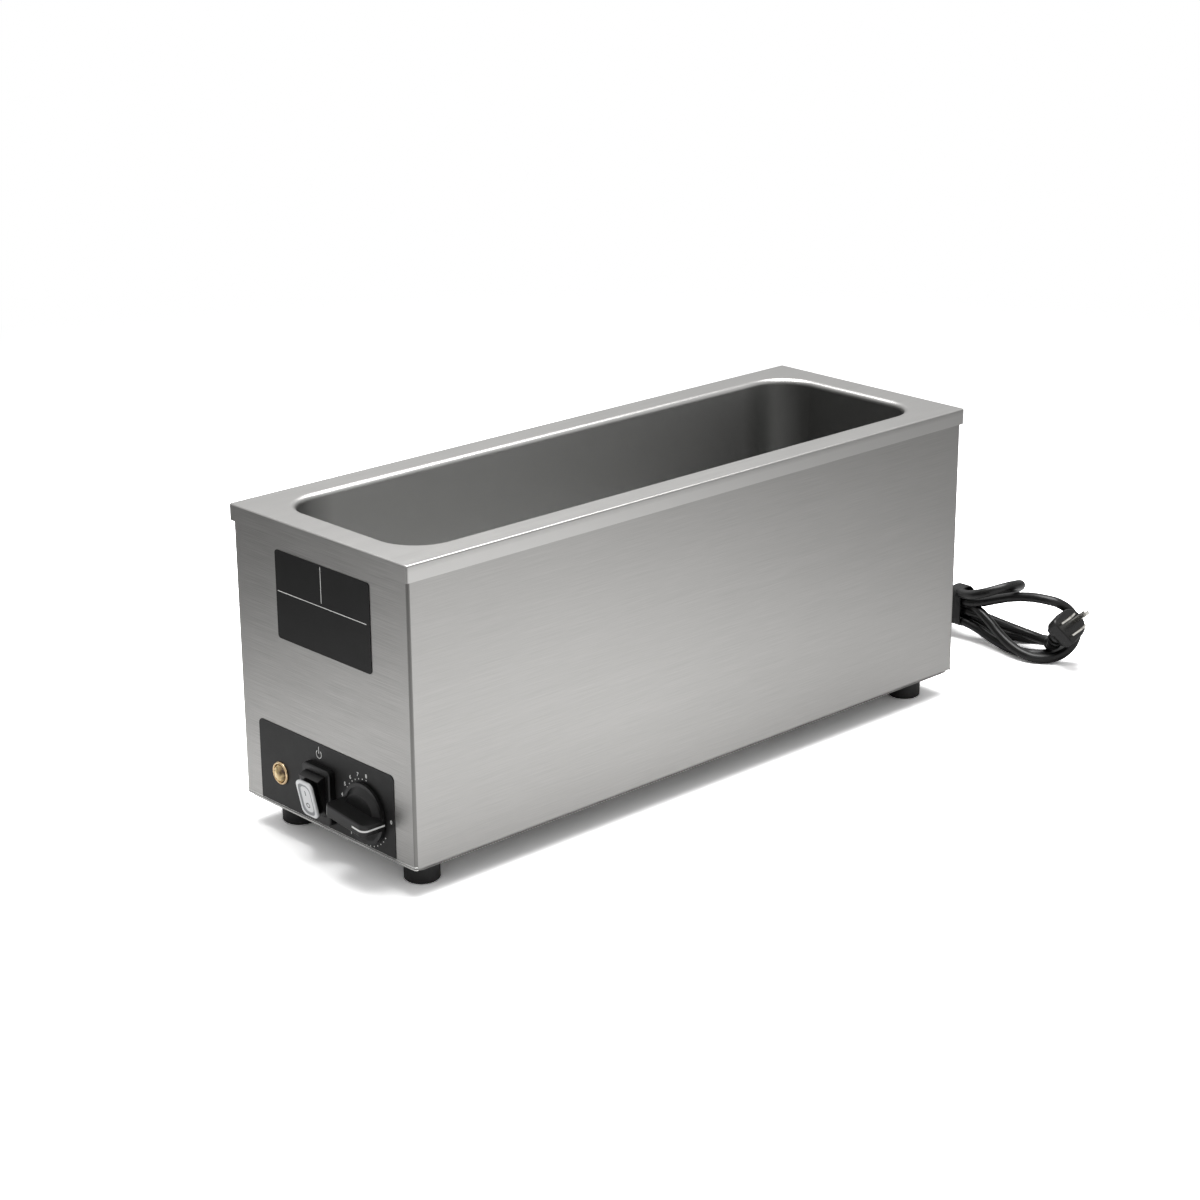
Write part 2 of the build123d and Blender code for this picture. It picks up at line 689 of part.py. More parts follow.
def make_blanket():
    """The blanket wrapped round the walls of the well."""
    height = well_depth - well_floor_radius - blanket_top_drop
    inset = sheet + fit_clearance - blanket_top_drop * tan(radians(well_draft))
    inner = RectangleRounded(well_width + 2 * inset, well_length + 2 * inset, well_corner_radius)
    inset += blanket_thickness
    outer = RectangleRounded(well_width + 2 * inset, well_length + 2 * inset,
                             well_corner_radius + blanket_thickness)
    return Pos(0, 0, rim_top - blanket_top_drop - height) * extrude(outer - inner, amount=height)


def make_baffle():
    """The upright sheet between the controls and the heated space, with its holes and its foot."""
    y = front_y + baffle_setback
    side = wrap_width / 2 - sheet - baffle_side_gap
    low = wrap_bottom + sheet
    wall = block((-side, side), (y, y + baffle_sheet), (low, well_underside - 0.6))
    foot = block((-side, side), (y, y + baffle_foot), (low, low + baffle_sheet))
    grommet_hole = Rot(90, 0, 0) * Pos(0, 0, -3) * extrude(RegularPolygon(4.8, 8), amount=6)
    cuts = [Pos(x, y, element_z) * grommet_hole for x in (-12, 12)]
    cuts += [Pos(*place) * grommet_hole
             for route in (live_route, neutral_route) for place in at_baffle(route)]
    cuts += [small_rod(cover_screw_diameter, 0, low + 5, x, screw_y) for x, screw_y in cover_screw_places]
    cuts.append(block((capillary_notch_x - 6, capillary_notch_x + 6), (y - 2, y + 2), (56, well_underside)))
    return wall + foot - cuts


def make_bulb():
    """The thermostat's sensing bulb, against the underside of the well."""
    bulb = Rot(90, 0, 0) * Cylinder(bulb_diameter / 2, bulb_length)
    return Pos(bulb_x, bulb_front + bulb_length / 2, bulb_z) * bulb


def make_bulb_clip():
    """The saddle that holds the bulb."""
    inside = bulb_diameter / 2 + lay_clearance
    outside = inside + 0.8
    half = [(0, -inside), (inside, -inside), (inside, inside), (inside + 7, inside),
            (inside + 7, inside - 0.8), (outside, inside - 0.8), (outside, -outside), (0, -outside)]
    section = make_face(Polyline(*half, *[(-x, y) for x, y in reversed(half[1:-1])], close=True))
    clip = Pos(0, 7, 0) * Rot(90, 0, 0) * extrude(section, amount=14)
    return Pos(bulb_x, bulb_front + bulb_length / 2, bulb_z) * clip


def make_capillary():
    """The thin tube from the bulb to the back of the thermostat."""
    thermostat_back = front_inside_y + thermostat_depth
    notch_y = front_y + baffle_setback
    points = [(bulb_x, bulb_front, bulb_z), (bulb_x, bulb_front - 22, bulb_z),
              (bulb_x + 6, bulb_front - 60, bulb_z - 4.6), (bulb_x + 10, notch_y + 34.15, bulb_z - 4.8),
              (capillary_notch_x - 3, notch_y + 9.15, bulb_z - 5),
              (capillary_notch_x + 1, notch_y - 0.85, bulb_z - 13),
              (knob_x - 1, thermostat_back + 7, control_row_z + 1.3),
              (knob_x, thermostat_back + 4.5, control_row_z - 3.7),
              (knob_x, thermostat_back, control_row_z - 3.7)]
    return tube(points, capillary_diameter, flats=4)[0]


def make_high_limit():
    """The cut-out disc under the well, on a plate with two ears."""
    top = well_underside - lay_clearance
    ears = Pos(0, cutout_y, top - 1.2) * extrude(Rectangle(36, 12), amount=1.2)
    ears -= [small_rod(3.2, 0, top, x, cutout_y) for x in (-13, 13)]
    body = rod(cutout_diameter, top - 8, top, 0, cutout_y)
    tabs = [Pos(x, cutout_y, top - 10) * Box(0.8, 4.8, 4.2) for x in (-4, 4)]
    return ears + body + tabs


def make_high_limit_studs():
    """The two small studs and nuts that hold the cut-out."""
    top = well_underside - lay_clearance - 1.2
    return group([small_rod(3, top - 4, well_underside, x, cutout_y)
                  + hexagon(5.5, 2.4, x, cutout_y, top) for x in (-13, 13)])


# ---- Wiring ----

def make_terminal_block():
    """The block that the supply is made off in, with its screw wells."""
    size = Pos(terminal_x, terminal_y, wrap_bottom + 8) * Box(32, 18, 16)
    wells = [small_rod(5, wrap_bottom + 9, wrap_bottom + 16, terminal_x + x, terminal_y + y)
             for x in (-9, 0, 9) for y in (-4.5, 4.5)]
    return size - wells


def make_earth_stud():
    """The earth stud on the cover, with its nut and ring tag."""
    stud = small_rod(4, wrap_bottom, wrap_bottom + 14, earth_x, earth_y)
    tag = small_rod(9, wrap_bottom, wrap_bottom + 1, earth_x, earth_y)
    return stud + tag + hexagon(7, 3.2, earth_x, earth_y, wrap_bottom + 4.2)


def make_wires():
    """The live, neutral and earth wires."""
    return [tube(points, wire_diameter, flats=6)[0] for points in (live_route, neutral_route, earth_route)]


# ---- Cord ----

def make_gland_body():
    """The strain relief in the back wall: flange, threaded neck and rounded nose."""
    flange = extrude(Circle(gland_diameter / 2), amount=4.0)
    nose = Pos(0, 0, 4) * extrude(Circle(gland_thread_diameter / 2), amount=gland_reach - 4)
    neck = Pos(0, 0, -gland_neck) * extrude(Circle(gland_thread_diameter / 2), amount=gland_neck)
    body = flange + nose + neck
    body -= Cylinder(cord_diameter / 2 + lay_clearance, 60)
    return gland_place * body


def make_gland_nut():
    """The strain relief's nut, inside the back wall."""
    outline = RegularPolygon(gland_nut_across / 2, 6, major_radius=False) - Circle(gland_thread_diameter / 2)
    return gland_place * Pos(0, 0, -sheet - 5) * extrude(outline, amount=5)


def plug_outline(clearance=0.0):
    """The plug's face: flat beside the blades, with round corners, and half round about the earth pin."""
    radius = plug_width / 2 + clearance
    low = -plug_flat_edge - clearance
    outline = Pos(0, plug_round_centre) * Circle(radius)
    outline += Pos(0, (low + plug_round_centre) / 2) * Rectangle(2 * radius, plug_round_centre - low)
    return fillet(outline.vertices().sort_by(Axis.Y)[:2], plug_corner)


def make_relief():
    """The bent strain relief, as moulded: a flexible core with rings that grow smaller towards the cord."""
    relief, radii, run = tube(relief_route, relief_core)
    path = FilletPolyline(*relief_route, radius=radii)
    for i in range(relief_rings):
        at = (i + 0.5) / relief_rings
        diameter = relief_ring_diameter - i * relief_ring_step
        place = Plane(origin=path @ at, z_dir=path % at).location
        relief += place * Cylinder(diameter / 2, relief_ring_width)
    return relief


def make_plug():
    """The moulded plug: a flat-sided head with grip ribs, a taper and relief, two blades and an earth pin."""
    head = extrude(plug_outline(), amount=-plug_slab)
    head = chamfer(head.edges().group_by(Axis.Z)[-1], 0.8)
    neck = extrude(Plane.XY.offset(-plug_slab) * plug_outline(), amount=-plug_taper_length, taper=plug_taper)
    rib = Box(0.8, grip_length, 1.2)
    ribs = [Pos(side * plug_width / 2, 2.5, -2.2 - i * grip_pitch) * rib
            for side in (-1, 1) for i in range(grip_count)]
    body = plug_place * (head + neck + ribs) + make_relief()
    blade = Box(blade_thickness, blade_width, blade_length)
    blade = chamfer(blade.edges().filter_by(Axis.X).group_by(Axis.Z)[-1], 1.0)
    hole = Rot(0, 90, 0) * Cylinder(blade_hole / 2, 2 * blade_thickness)
    blade -= Pos(0, 0, blade_hole_place - blade_length / 2) * hole
    blades = [Pos(x, 0, blade_length / 2) * blade for x in (-blade_spacing / 2, blade_spacing / 2)]
    pin = Pos(0, earth_pin_drop, earth_pin_length / 2) * Cylinder(earth_pin_diameter / 2, earth_pin_length)
    pin = chamfer(pin.edges().sort_by(Axis.Z)[-1], 1.2)
    return body, group([plug_place * b for b in blades]), plug_place * pin


def hank_ring(x, y, z, half_y, half_z):
    """One section across the hank: eight sides, with a flat where it lies on the floor."""
    wide = 1 / cos(radians(22.5))
    angles = [radians(22.5 + 45 * i) for i in range(8)]
    corners = [(half_y * wide * cos(angle), half_z * wide * sin(angle)) for angle in angles]
    across = Plane(origin=(x, y, z), x_dir=(0, 1, 0), z_dir=(1, 0, 0))
    return across * make_face(Polyline(*corners, close=True))


def make_hank(cord):
    """The outer shape of the tied hank, cut away for the cord going in and the plug that lies on it."""
    form = loft([hank_ring(*section) for section in hank_sections], ruled=True)
    seat = Pos(0, 0, -plug_slab - plug_taper_length - 1) * plug_outline(fit_clearance + 0.4)
    seat = plug_place * extrude(seat, amount=plug_slab + plug_taper_length + 20)
    relief = tube(relief_route, relief_ring_diameter + 2 * fit_clearance, flats=10)[0]
    form = form - seat - relief - cord
    return max(form.solids(), key=lambda solid: solid.volume)


def make_tie(hank):
    """The band round the middle of the hank."""
    y, z, half_y, half_z = hank_sections[tie_section][1:]
    start = tie_x - tie_width / 2
    band = extrude(hank_ring(start, y, z, half_y + 1.5, half_z + 1.5), amount=tie_width) - hank
    return max(band.solids(), key=lambda solid: solid.volume)


os.makedirs("parts", exist_ok=True)

save("well_pan", make_well())
save("housing_wrap", make_wrap())
save("seam_strip", make_seam_strip())
save("bottom_cover", make_bottom_cover())
save("cover_screws", make_cover_screws())
save("feet", make_feet())
save("foot_screws", make_foot_screws())
save("foot_nuts", make_foot_nuts())
save("rim_brackets", make_rim_brackets())
save("rim_studs", make_rim_studs())
save("rim_nuts", make_rim_nuts())

save("control_overlay", make_overlay())
save("label_plate", make_label_plate())
save("pilot_bezel", make_pilot_bezel())
save("pilot_lens", make_pilot_lens())
save("pilot_body", make_pilot_body())
save("pilot_clip", make_pilot_clip())
save("switch_body", make_switch_body())
save("switch_terminals", make_switch_terminals())
save("switch_rocker", make_rocker())
save("rocker_cap", make_rocker_cap())
save("thermostat_body", make_thermostat())
save("thermostat_screws", make_thermostat_screws())
save("thermostat_shaft", make_shaft())
knob, pointer = make_knob()
save("knob", knob)
save("knob_pointer", pointer)

save("heating_element", make_element())
save("clamp_bars", make_clamp_bars())
save("well_studs", make_studs())
save("clamp_nuts", make_clamp_nuts())
save("shield_nuts", make_shield_nuts())
save("heat_shield", make_heat_shield())
save("insulation_pad", make_insulation_pad())
save("insulation_blanket", make_blanket())
save("controls_baffle", make_baffle())
save("sensing_bulb", make_bulb())
save("bulb_clip", make_bulb_clip())
save("capillary_tube", make_capillary())
save("high_limit_cutout", make_high_limit())
save("high_limit_studs", make_high_limit_studs())

save("terminal_block", make_terminal_block())
save("earth_stud", make_earth_stud())
for name, wire in zip(("wire_live", "wire_neutral", "wire_earth"), make_wires()):
    save(name, wire)

save("gland_body", make_gland_body())
save("gland_nut", make_gland_nut())
tail = tube(inside_route, cord_diameter, flats=6)[0]
save("supply_tail", tail)
cord, cord_radii, cord_run = tube(cord_route, cord_diameter, flats=cord_flats)
print("cord radii", [round(radius, 1) for radius in cord_radii])
section = cord_flats / 2 * (cord_diameter / 2) ** 2 * sin(radians(360 / cord_flats))
print("cord volume over section times length", cord.volume / (cord_run * section))
save("power_cord", cord)
plug, blades, earth_pin = make_plug()
save("plug_body", plug)
save("plug_blades", blades)
save("plug_earth_pin", earth_pin)
hank = make_hank(cord)
save("cord_hank", hank)
save("cord_tie", make_tie(hank))
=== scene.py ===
from math import cos, pi, radians, sin

import bmesh
import bpy
from mathutils import Matrix, Vector


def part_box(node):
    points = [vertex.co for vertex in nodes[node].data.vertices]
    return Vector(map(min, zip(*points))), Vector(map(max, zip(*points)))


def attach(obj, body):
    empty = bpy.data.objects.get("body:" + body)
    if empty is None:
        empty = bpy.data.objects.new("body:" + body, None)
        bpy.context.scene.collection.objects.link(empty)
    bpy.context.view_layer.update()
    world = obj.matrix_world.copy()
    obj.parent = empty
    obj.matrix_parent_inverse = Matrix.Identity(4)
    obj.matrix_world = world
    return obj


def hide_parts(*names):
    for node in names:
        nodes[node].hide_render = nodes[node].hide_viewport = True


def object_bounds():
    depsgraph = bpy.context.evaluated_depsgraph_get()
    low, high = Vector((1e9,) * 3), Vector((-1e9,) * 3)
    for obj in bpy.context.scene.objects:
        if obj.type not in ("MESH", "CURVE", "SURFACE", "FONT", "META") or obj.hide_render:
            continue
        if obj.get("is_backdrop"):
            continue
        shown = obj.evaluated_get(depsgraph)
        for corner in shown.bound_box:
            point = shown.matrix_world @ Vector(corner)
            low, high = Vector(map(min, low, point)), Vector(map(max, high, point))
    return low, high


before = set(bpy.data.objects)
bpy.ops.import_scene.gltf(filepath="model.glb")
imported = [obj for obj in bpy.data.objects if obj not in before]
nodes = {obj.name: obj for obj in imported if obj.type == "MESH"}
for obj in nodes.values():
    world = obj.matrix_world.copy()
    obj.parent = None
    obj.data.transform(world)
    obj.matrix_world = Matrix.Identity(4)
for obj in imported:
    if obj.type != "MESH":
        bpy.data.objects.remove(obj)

cad_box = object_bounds()
mm = 0.001


# ---- The drawn well with its rim, and the wrapped body ----
# Both are 0.9 mm austenitic stainless sheet. The well is deep drawn in one piece with a flat rim and a folded
# skirt. The body is one strip, folded round four corners and closed by a strip inside the back.

def linear(colour):
    """An sRGB hex colour as a shader takes it."""
    parts = [int(colour[i:i + 2], 16) / 255 for i in (1, 3, 5)]
    return [p / 12.92 if p <= 0.04045 else ((p + 0.055) / 1.055) ** 2.4 for p in parts] + [1.0]


def put(finish, kind, inputs=(), **settings):
    """One node in a finish, with its settings, and its inputs set or joined to other nodes."""
    node = finish.node_tree.nodes.new("ShaderNode" + kind)
    for name, value in settings.items():
        setattr(node, name, value)
    for socket, value in dict(inputs).items():
        if isinstance(value, bpy.types.NodeSocket):
            finish.node_tree.links.new(value, node.inputs[socket])
        else:
            node.inputs[socket].default_value = value
    return node


def new_finish(name):
    """An empty finish, whose output is joined last."""
    finish = bpy.data.materials.new(name)
    finish.use_nodes = True
    finish.node_tree.nodes.clear()
    return finish


def wear(piece, finish):
    """The piece shows that finish all over."""
    piece.data.materials.clear()
    piece.data.materials.append(finish)
    for face in piece.data.polygons:
        face.material_index = 0


# Brushed stainless, a No. 4 satin finish: long fine scratches along the sheet blur what it mirrors, and the belt
# leaves faint wider bands. The real scratches are 0.05 mm apart, drawn here as 0.4 mm so that they show, and
# more strongly on the two ends than on the long sides. A face is level, or an end, when at least the share
# squarely of its normal points that way.
scratch_spacing, scratch_length, scratch_depth = 0.4 * mm, 45 * mm, 0.05 * mm
belt_band, belt_run = 9 * mm, 405 * mm
haze_patch = 71.43 * mm
band_share, haze_share = 0.12, 0.06
squarely = 0.8

# A noise keeps near its middle, so a stretch of it is spread over the whole range from one tone to the other: a
# short stretch gives strong marks, and a long one gives faint marks.
strong_marks, gloss_marks, faint_marks = {1: 0.35, 2: 0.65}, {1: 0.3, 2: 0.7}, {1: 0.15, 2: 0.85}

# The well's mouth and walls stay plain drawn satin, with painted shade darkening them towards their two ends. The
# skirt's long faces carry painted light, and the body's four upright bends carry painted shade.
drawn_grey, well_end_painted_shade, flank_painted_light, bend_painted_shade = "#C3C3C2", "#5C5C5B", "#D2D1CF", "#8A8987"
well_low, well_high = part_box("well_pan")
wrap_low, wrap_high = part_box("housing_wrap")
well_middle = (well_low.y + well_high.y) / 2
mouth_half = (80 * mm, 262 * mm)
mouth_top, wall_top = well_high.z - 0.5 * mm, well_high.z - 5 * mm
# where the painted shade at the well's ends starts and where it is full
end_near, end_far = 205 * mm, 250 * mm
flank_start = (well_high.x - well_low.x) / 2 - 0.4 * mm
wrap_bend = 1.9 * mm
bend_start = (wrap_high.x - wrap_bend, (wrap_high.y - wrap_low.y) / 2 - wrap_bend)


def brushed_steel(name, roughness, pale, dark, mouth=(0.0, 0.0), bend=(1.0, 1.0)):
    """Stainless brushed along the body, drawn satin in the well's mouth; painted shade at ends and bends, light on
    flanks.
    """
    finish = new_finish(name)
    place = put(finish, "TexCoord").outputs
    normal = put(finish, "SeparateXYZ", {0: place["Normal"]}).outputs
    spot = put(finish, "SeparateXYZ", {0: place["Object"]}).outputs
    up = put(finish, "Math", {0: normal["Z"]}, operation="ABSOLUTE").outputs[0]
    on_top = put(finish, "Math", {0: up, 1: squarely}, operation="GREATER_THAN").outputs[0]
    facing = put(finish, "Math", {0: normal["Y"]}, operation="ABSOLUTE").outputs[0]
    on_end = put(finish, "Math", {0: facing, 1: squarely}, operation="GREATER_THAN").outputs[0]

    # the scratches, with the belt's bands and a slow haze over them
    fine, long = 1 / scratch_spacing, 1 / scratch_length
    level = put(finish, "Mapping", {"Vector": place["Object"], "Scale": (long, long, fine)}).outputs[0]
    lengthwise = put(finish, "Mapping", {"Vector": place["Object"], "Scale": (fine, long, fine)}).outputs[0]
    along = put(finish, "Mix", {0: on_top, 4: level, 5: lengthwise}, data_type="VECTOR").outputs[1]
    scratches = put(finish, "TexNoise", {"Vector": along, "Scale": 1.0, "Detail": 5.0,
                                         "Roughness": 0.72}).outputs[0]
    wide, short = 1 / belt_band, 1 / belt_run
    bands = put(finish, "Mapping", {"Vector": place["Object"], "Scale": (short, short, wide)}).outputs[0]
    bands = put(finish, "TexNoise", {"Vector": bands, "Scale": 1.0, "Detail": 3.0}).outputs[0]
    haze = put(finish, "TexNoise", {"Vector": place["Object"], "Scale": 1 / haze_patch, "Detail": 4.0}).outputs[0]
    tone = put(finish, "Mix", {0: band_share, 2: scratches, 3: bands}).outputs[0]
    tone = put(finish, "Mix", {0: haze_share, 2: tone, 3: haze}).outputs[0]
    strong = put(finish, "MapRange", {0: tone, **strong_marks}).outputs[0]
    faint = put(finish, "MapRange", {0: tone, **faint_marks}).outputs[0]
    tone = put(finish, "Mix", {0: on_end, 2: faint, 3: strong}).outputs[0]
    colour = put(finish, "Mix", {0: tone, 6: linear(dark), 7: linear(pale)}, data_type="RGBA").outputs[2]

    # the drawn mouth and walls, with painted shade darkening them towards the well's two ends
    side = put(finish, "Math", {0: spot["X"]}, operation="ABSOLUTE").outputs[0]
    end = put(finish, "Math", {0: spot["Y"], 1: well_middle}, operation="SUBTRACT").outputs[0]
    end = put(finish, "Math", {0: end}, operation="ABSOLUTE").outputs[0]
    low = put(finish, "MapRange", {0: spot["Z"], 1: mouth_top, 2: wall_top}).outputs[0]
    across = put(finish, "Math", {0: side, 1: mouth[0]}, operation="LESS_THAN").outputs[0]
    length = put(finish, "Math", {0: end, 1: mouth[1]}, operation="LESS_THAN").outputs[0]
    inside = put(finish, "Math", {0: across, 1: length}, operation="MULTIPLY").outputs[0]
    inside = put(finish, "Math", {0: low, 1: inside}, operation="MULTIPLY").outputs[0]
    end_shade_mask = put(finish, "MapRange", {0: end, 1: end_near, 2: end_far}).outputs[0]
    drawn = put(finish, "Mix", {0: end_shade_mask, 6: linear(drawn_grey), 7: linear(well_end_painted_shade)},
                data_type="RGBA").outputs[2]
    colour = put(finish, "Mix", {0: inside, 6: colour, 7: drawn}, data_type="RGBA").outputs[2]

    # painted light on the skirt's long faces and painted shade on the upright bends
    flank_light_mask = put(finish, "Math", {0: side, 1: flank_start}, operation="GREATER_THAN").outputs[0]
    flank_light_mask = put(finish, "Math", {0: flank_light_mask, 1: low}, operation="MULTIPLY").outputs[0]
    colour = put(finish, "Mix", {0: flank_light_mask, 6: colour, 7: linear(flank_painted_light)}, data_type="RGBA").outputs[2]
    bend_shade_mask = put(finish, "Math", {0: side, 1: bend[0]}, operation="GREATER_THAN").outputs[0]
    bent_end = put(finish, "Math", {0: end, 1: bend[1]}, operation="GREATER_THAN").outputs[0]
    bend_shade_mask = put(finish, "Math", {0: bend_shade_mask, 1: bent_end}, operation="MULTIPLY").outputs[0]
    colour = put(finish, "Mix", {0: bend_shade_mask, 6: colour, 7: linear(bend_painted_shade)}, data_type="RGBA").outputs[2]

    # the gloss and the relief
    rough = put(finish, "MapRange", {0: scratches, **gloss_marks, 3: roughness - 0.05, 4: roughness + 0.06})
    rough = put(finish, "Mix", {0: inside, 2: rough.outputs[0], 3: roughness + 0.08}).outputs[0]
    depth = put(finish, "Mix", {0: inside, 2: scratches, 3: haze}).outputs[0]
    bump = put(finish, "Bump", {"Height": depth, "Strength": 0.14, "Distance": scratch_depth}).outputs[0]
    skin = put(finish, "BsdfPrincipled", {"Base Color": colour, "Metallic": 1.0, "Roughness": rough,
                                          "Normal": bump})
    put(finish, "OutputMaterial", {0: skin.outputs[0]})
    return finish


rim_steel = brushed_steel("brushed_stainless_rim", 0.33, "#C8C7C5", "#AEADAB", mouth=mouth_half)
wear(nodes["well_pan"], rim_steel)
body_steel = brushed_steel("brushed_stainless_body", 0.36, "#C7C6C4", "#A4A3A1", bend=bend_start)
for name in ("housing_wrap", "seam_strip"):
    wear(nodes[name], body_steel)


# ---- The plain metal parts: cover, brackets, screws, heater and terminals ----
# Cold-rolled sheet for the bottom cover, brackets and clamps, zinc-plated screws, nuts and studs, a mill-finish
# aluminium heat shield, a copper sensing tube, and nickel-plated blades and tabs. They are screwed or spot
# welded on, mostly out of sight.

plate_relief = 0.05 * mm
marks_per_cloud = 8


def plated_metal(name, colour, other, roughness, cloud_size):
    """A plain or plated metal: slightly cloudy, with fine handling marks."""
    finish = new_finish(name)
    place = put(finish, "TexCoord").outputs["Object"]
    cloud = put(finish, "TexNoise", {"Vector": place, "Scale": 1 / cloud_size, "Detail": 6.0,
                                     "Roughness": 0.6}).outputs[0]
    marks = put(finish, "TexNoise", {"Vector": place, "Scale": marks_per_cloud / cloud_size,
                                     "Detail": 3.0}).outputs[0]
    tone = put(finish, "MapRange", {0: cloud, **strong_marks}).outputs[0]
    shade = put(finish, "Mix", {0: tone, 6: linear(colour), 7: linear(other)}, data_type="RGBA").outputs[2]
    rough = put(finish, "MapRange", {0: cloud, **gloss_marks, 3: roughness - 0.06, 4: roughness + 0.08}).outputs[0]
    bump = put(finish, "Bump", {"Height": marks, "Strength": 0.15, "Distance": plate_relief}).outputs[0]
    skin = put(finish, "BsdfPrincipled", {"Base Color": shade, "Metallic": 1.0, "Roughness": rough,
                                          "Normal": bump})
    put(finish, "OutputMaterial", {0: skin.outputs[0]})
    return finish


# Rolled sheet is a dull grey, zinc plate a cloudy bluish one, nickel plate warm and almost a mirror. The heater's
# sheath has browned in its own heat, mill aluminium is pale and even, and drawn copper is a bright red.
cold_rolled = plated_metal("cold_rolled_steel", "#8E8D8B", "#7C7B79", 0.42, 12 * mm)
zinc_plate = plated_metal("zinc_plated_steel", "#B9BBBD", "#9FA1A4", 0.30, 5 * mm)
nickel_plate = plated_metal("nickel_plated_brass", "#EAE8E2", "#D6D3CB", 0.20, 4 * mm)
sheath_alloy = plated_metal("heated_sheath_alloy", "#6E665C", "#4E4740", 0.48, 8 * mm)
aluminium = plated_metal("mill_aluminium", "#C6C8CA", "#B2B4B6", 0.36, 15 * mm)
copper = plated_metal("drawn_copper", "#C58B68", "#A36C4C", 0.30, 5 * mm)
finishes = {
    cold_rolled: ("bottom_cover", "rim_brackets", "clamp_bars", "controls_baffle", "bulb_clip", "high_limit_cutout",
                  "pilot_clip", "thermostat_body"),
    zinc_plate: ("cover_screws", "foot_screws", "foot_nuts", "rim_studs", "rim_nuts", "thermostat_screws",
                 "thermostat_shaft", "well_studs", "clamp_nuts", "shield_nuts", "high_limit_studs",
                 "earth_stud"),
    nickel_plate: ("switch_terminals", "plug_blades", "plug_earth_pin"),
    sheath_alloy: ("heating_element",),
    aluminium: ("heat_shield",),
    copper: ("capillary_tube", "sensing_bulb"),
}


# ---- The moulded and extruded parts: feet, knob, switch, cord, plug and insulation ----
# Rubber feet, cord and plug, a phenolic knob with a nylon inlay, a switch and a gland of glass-filled nylon, an ABS
# cap on the rocker, and PVC on the inner wires. Needled glass wool packs the space round the well.

flow_patch = 16.67 * mm


def moulded(name, colour, other, roughness, texture, depth, coat=0.0, ior=1.5):
    """A moulded plastic or rubber: the mould's fine spark texture and a slow change of tone."""
    finish = new_finish(name)
    place = put(finish, "TexCoord").outputs["Object"]
    spark = put(finish, "TexNoise", {"Vector": place, "Scale": 1 / texture, "Detail": 4.0}).outputs[0]
    flow = put(finish, "TexNoise", {"Vector": place, "Scale": 1 / flow_patch, "Detail": 3.0}).outputs[0]
    tone = put(finish, "MapRange", {0: flow, **strong_marks}).outputs[0]
    shade = put(finish, "Mix", {0: tone, 6: linear(colour), 7: linear(other)}, data_type="RGBA").outputs[2]
    rough = put(finish, "MapRange", {0: spark, **gloss_marks, 3: roughness - 0.04, 4: roughness + 0.07}).outputs[0]
    bump = put(finish, "Bump", {"Height": spark, "Strength": 0.25, "Distance": depth}).outputs[0]
    skin = put(finish, "BsdfPrincipled", {"Base Color": shade, "Roughness": rough, "Normal": bump, "IOR": ior,
                                          "Coat Weight": coat, "Coat Roughness": 0.12})
    put(finish, "OutputMaterial", {0: skin.outputs[0]})
    return finish


# The mould's texture is really about 0.1 mm across, drawn here as 0.5 to 1.1 mm so that it shows. Rubber feet are
# dull, the cord's rubber, nylon and phenolic have a soft sheen, the ABS cap is polished, PVC is satin, and the wool
# is quite matt, with its own 2.5 mm tufts.
foot_rubber = moulded("moulded_foot_rubber", "#161616", "#202020", 0.55, 0.8 * mm, 0.06 * mm)
cord_rubber = moulded("extruded_cord_rubber", "#060606", "#0B0B0B", 0.30, 1.1 * mm, 0.05 * mm)
black_nylon = moulded("moulded_black_nylon", "#090909", "#0F0F0F", 0.31, 0.5 * mm, 0.03 * mm)
knob_black = moulded("moulded_knob_phenolic", "#0A0A0A", "#121212", 0.34, 0.6 * mm, 0.04 * mm)
cap_grey = moulded("polished_grey_abs", "#F1F2F3", "#F8F9FA", 0.20, 0.9 * mm, 0.01 * mm, coat=0.3)
inlay_white = moulded("inlaid_white_nylon", "#F1F1EF", "#E4E4E2", 0.35, 0.5 * mm, 0.01 * mm)
white_nylon = moulded("moulded_white_nylon", "#E8E6E0", "#DAD8D1", 0.40, 0.8 * mm, 0.03 * mm)
glass_wool = moulded("needled_glass_wool", "#E9E2C8", "#CFC6A2", 0.95, 2.5 * mm, 0.6 * mm)
black_pvc = moulded("black_pvc_wire", "#171717", "#222222", 0.42, 0.8 * mm, 0.02 * mm)
white_pvc = moulded("white_pvc_wire", "#E6E6E4", "#D6D6D4", 0.42, 0.8 * mm, 0.02 * mm)
green_pvc = moulded("green_pvc_wire", "#1F7A3C", "#2A8C49", 0.42, 0.8 * mm, 0.02 * mm)
finishes.update({
    foot_rubber: ("feet",),
    black_nylon: ("pilot_body", "switch_body", "switch_rocker", "gland_body", "gland_nut"),
    knob_black: ("knob",),
    cap_grey: ("rocker_cap",),
    inlay_white: ("knob_pointer",),
    glass_wool: ("insulation_pad", "insulation_blanket"),
    white_nylon: ("terminal_block",),
    black_pvc: ("wire_live",),
    white_pvc: ("wire_neutral",),
    green_pvc: ("wire_earth",),
    cord_rubber: ("supply_tail", "plug_body", "power_cord", "cord_hank", "cord_tie"),
})
for finish, names in finishes.items():
    for name in names:
        wear(nodes[name], finish)


# ---- The control overlay and its printing ----
# A 0.5 mm polycarbonate film, matt charcoal, stuck to the front of the body. Pale ink on its face gives the dial's
# dots and numbers and the power sign.

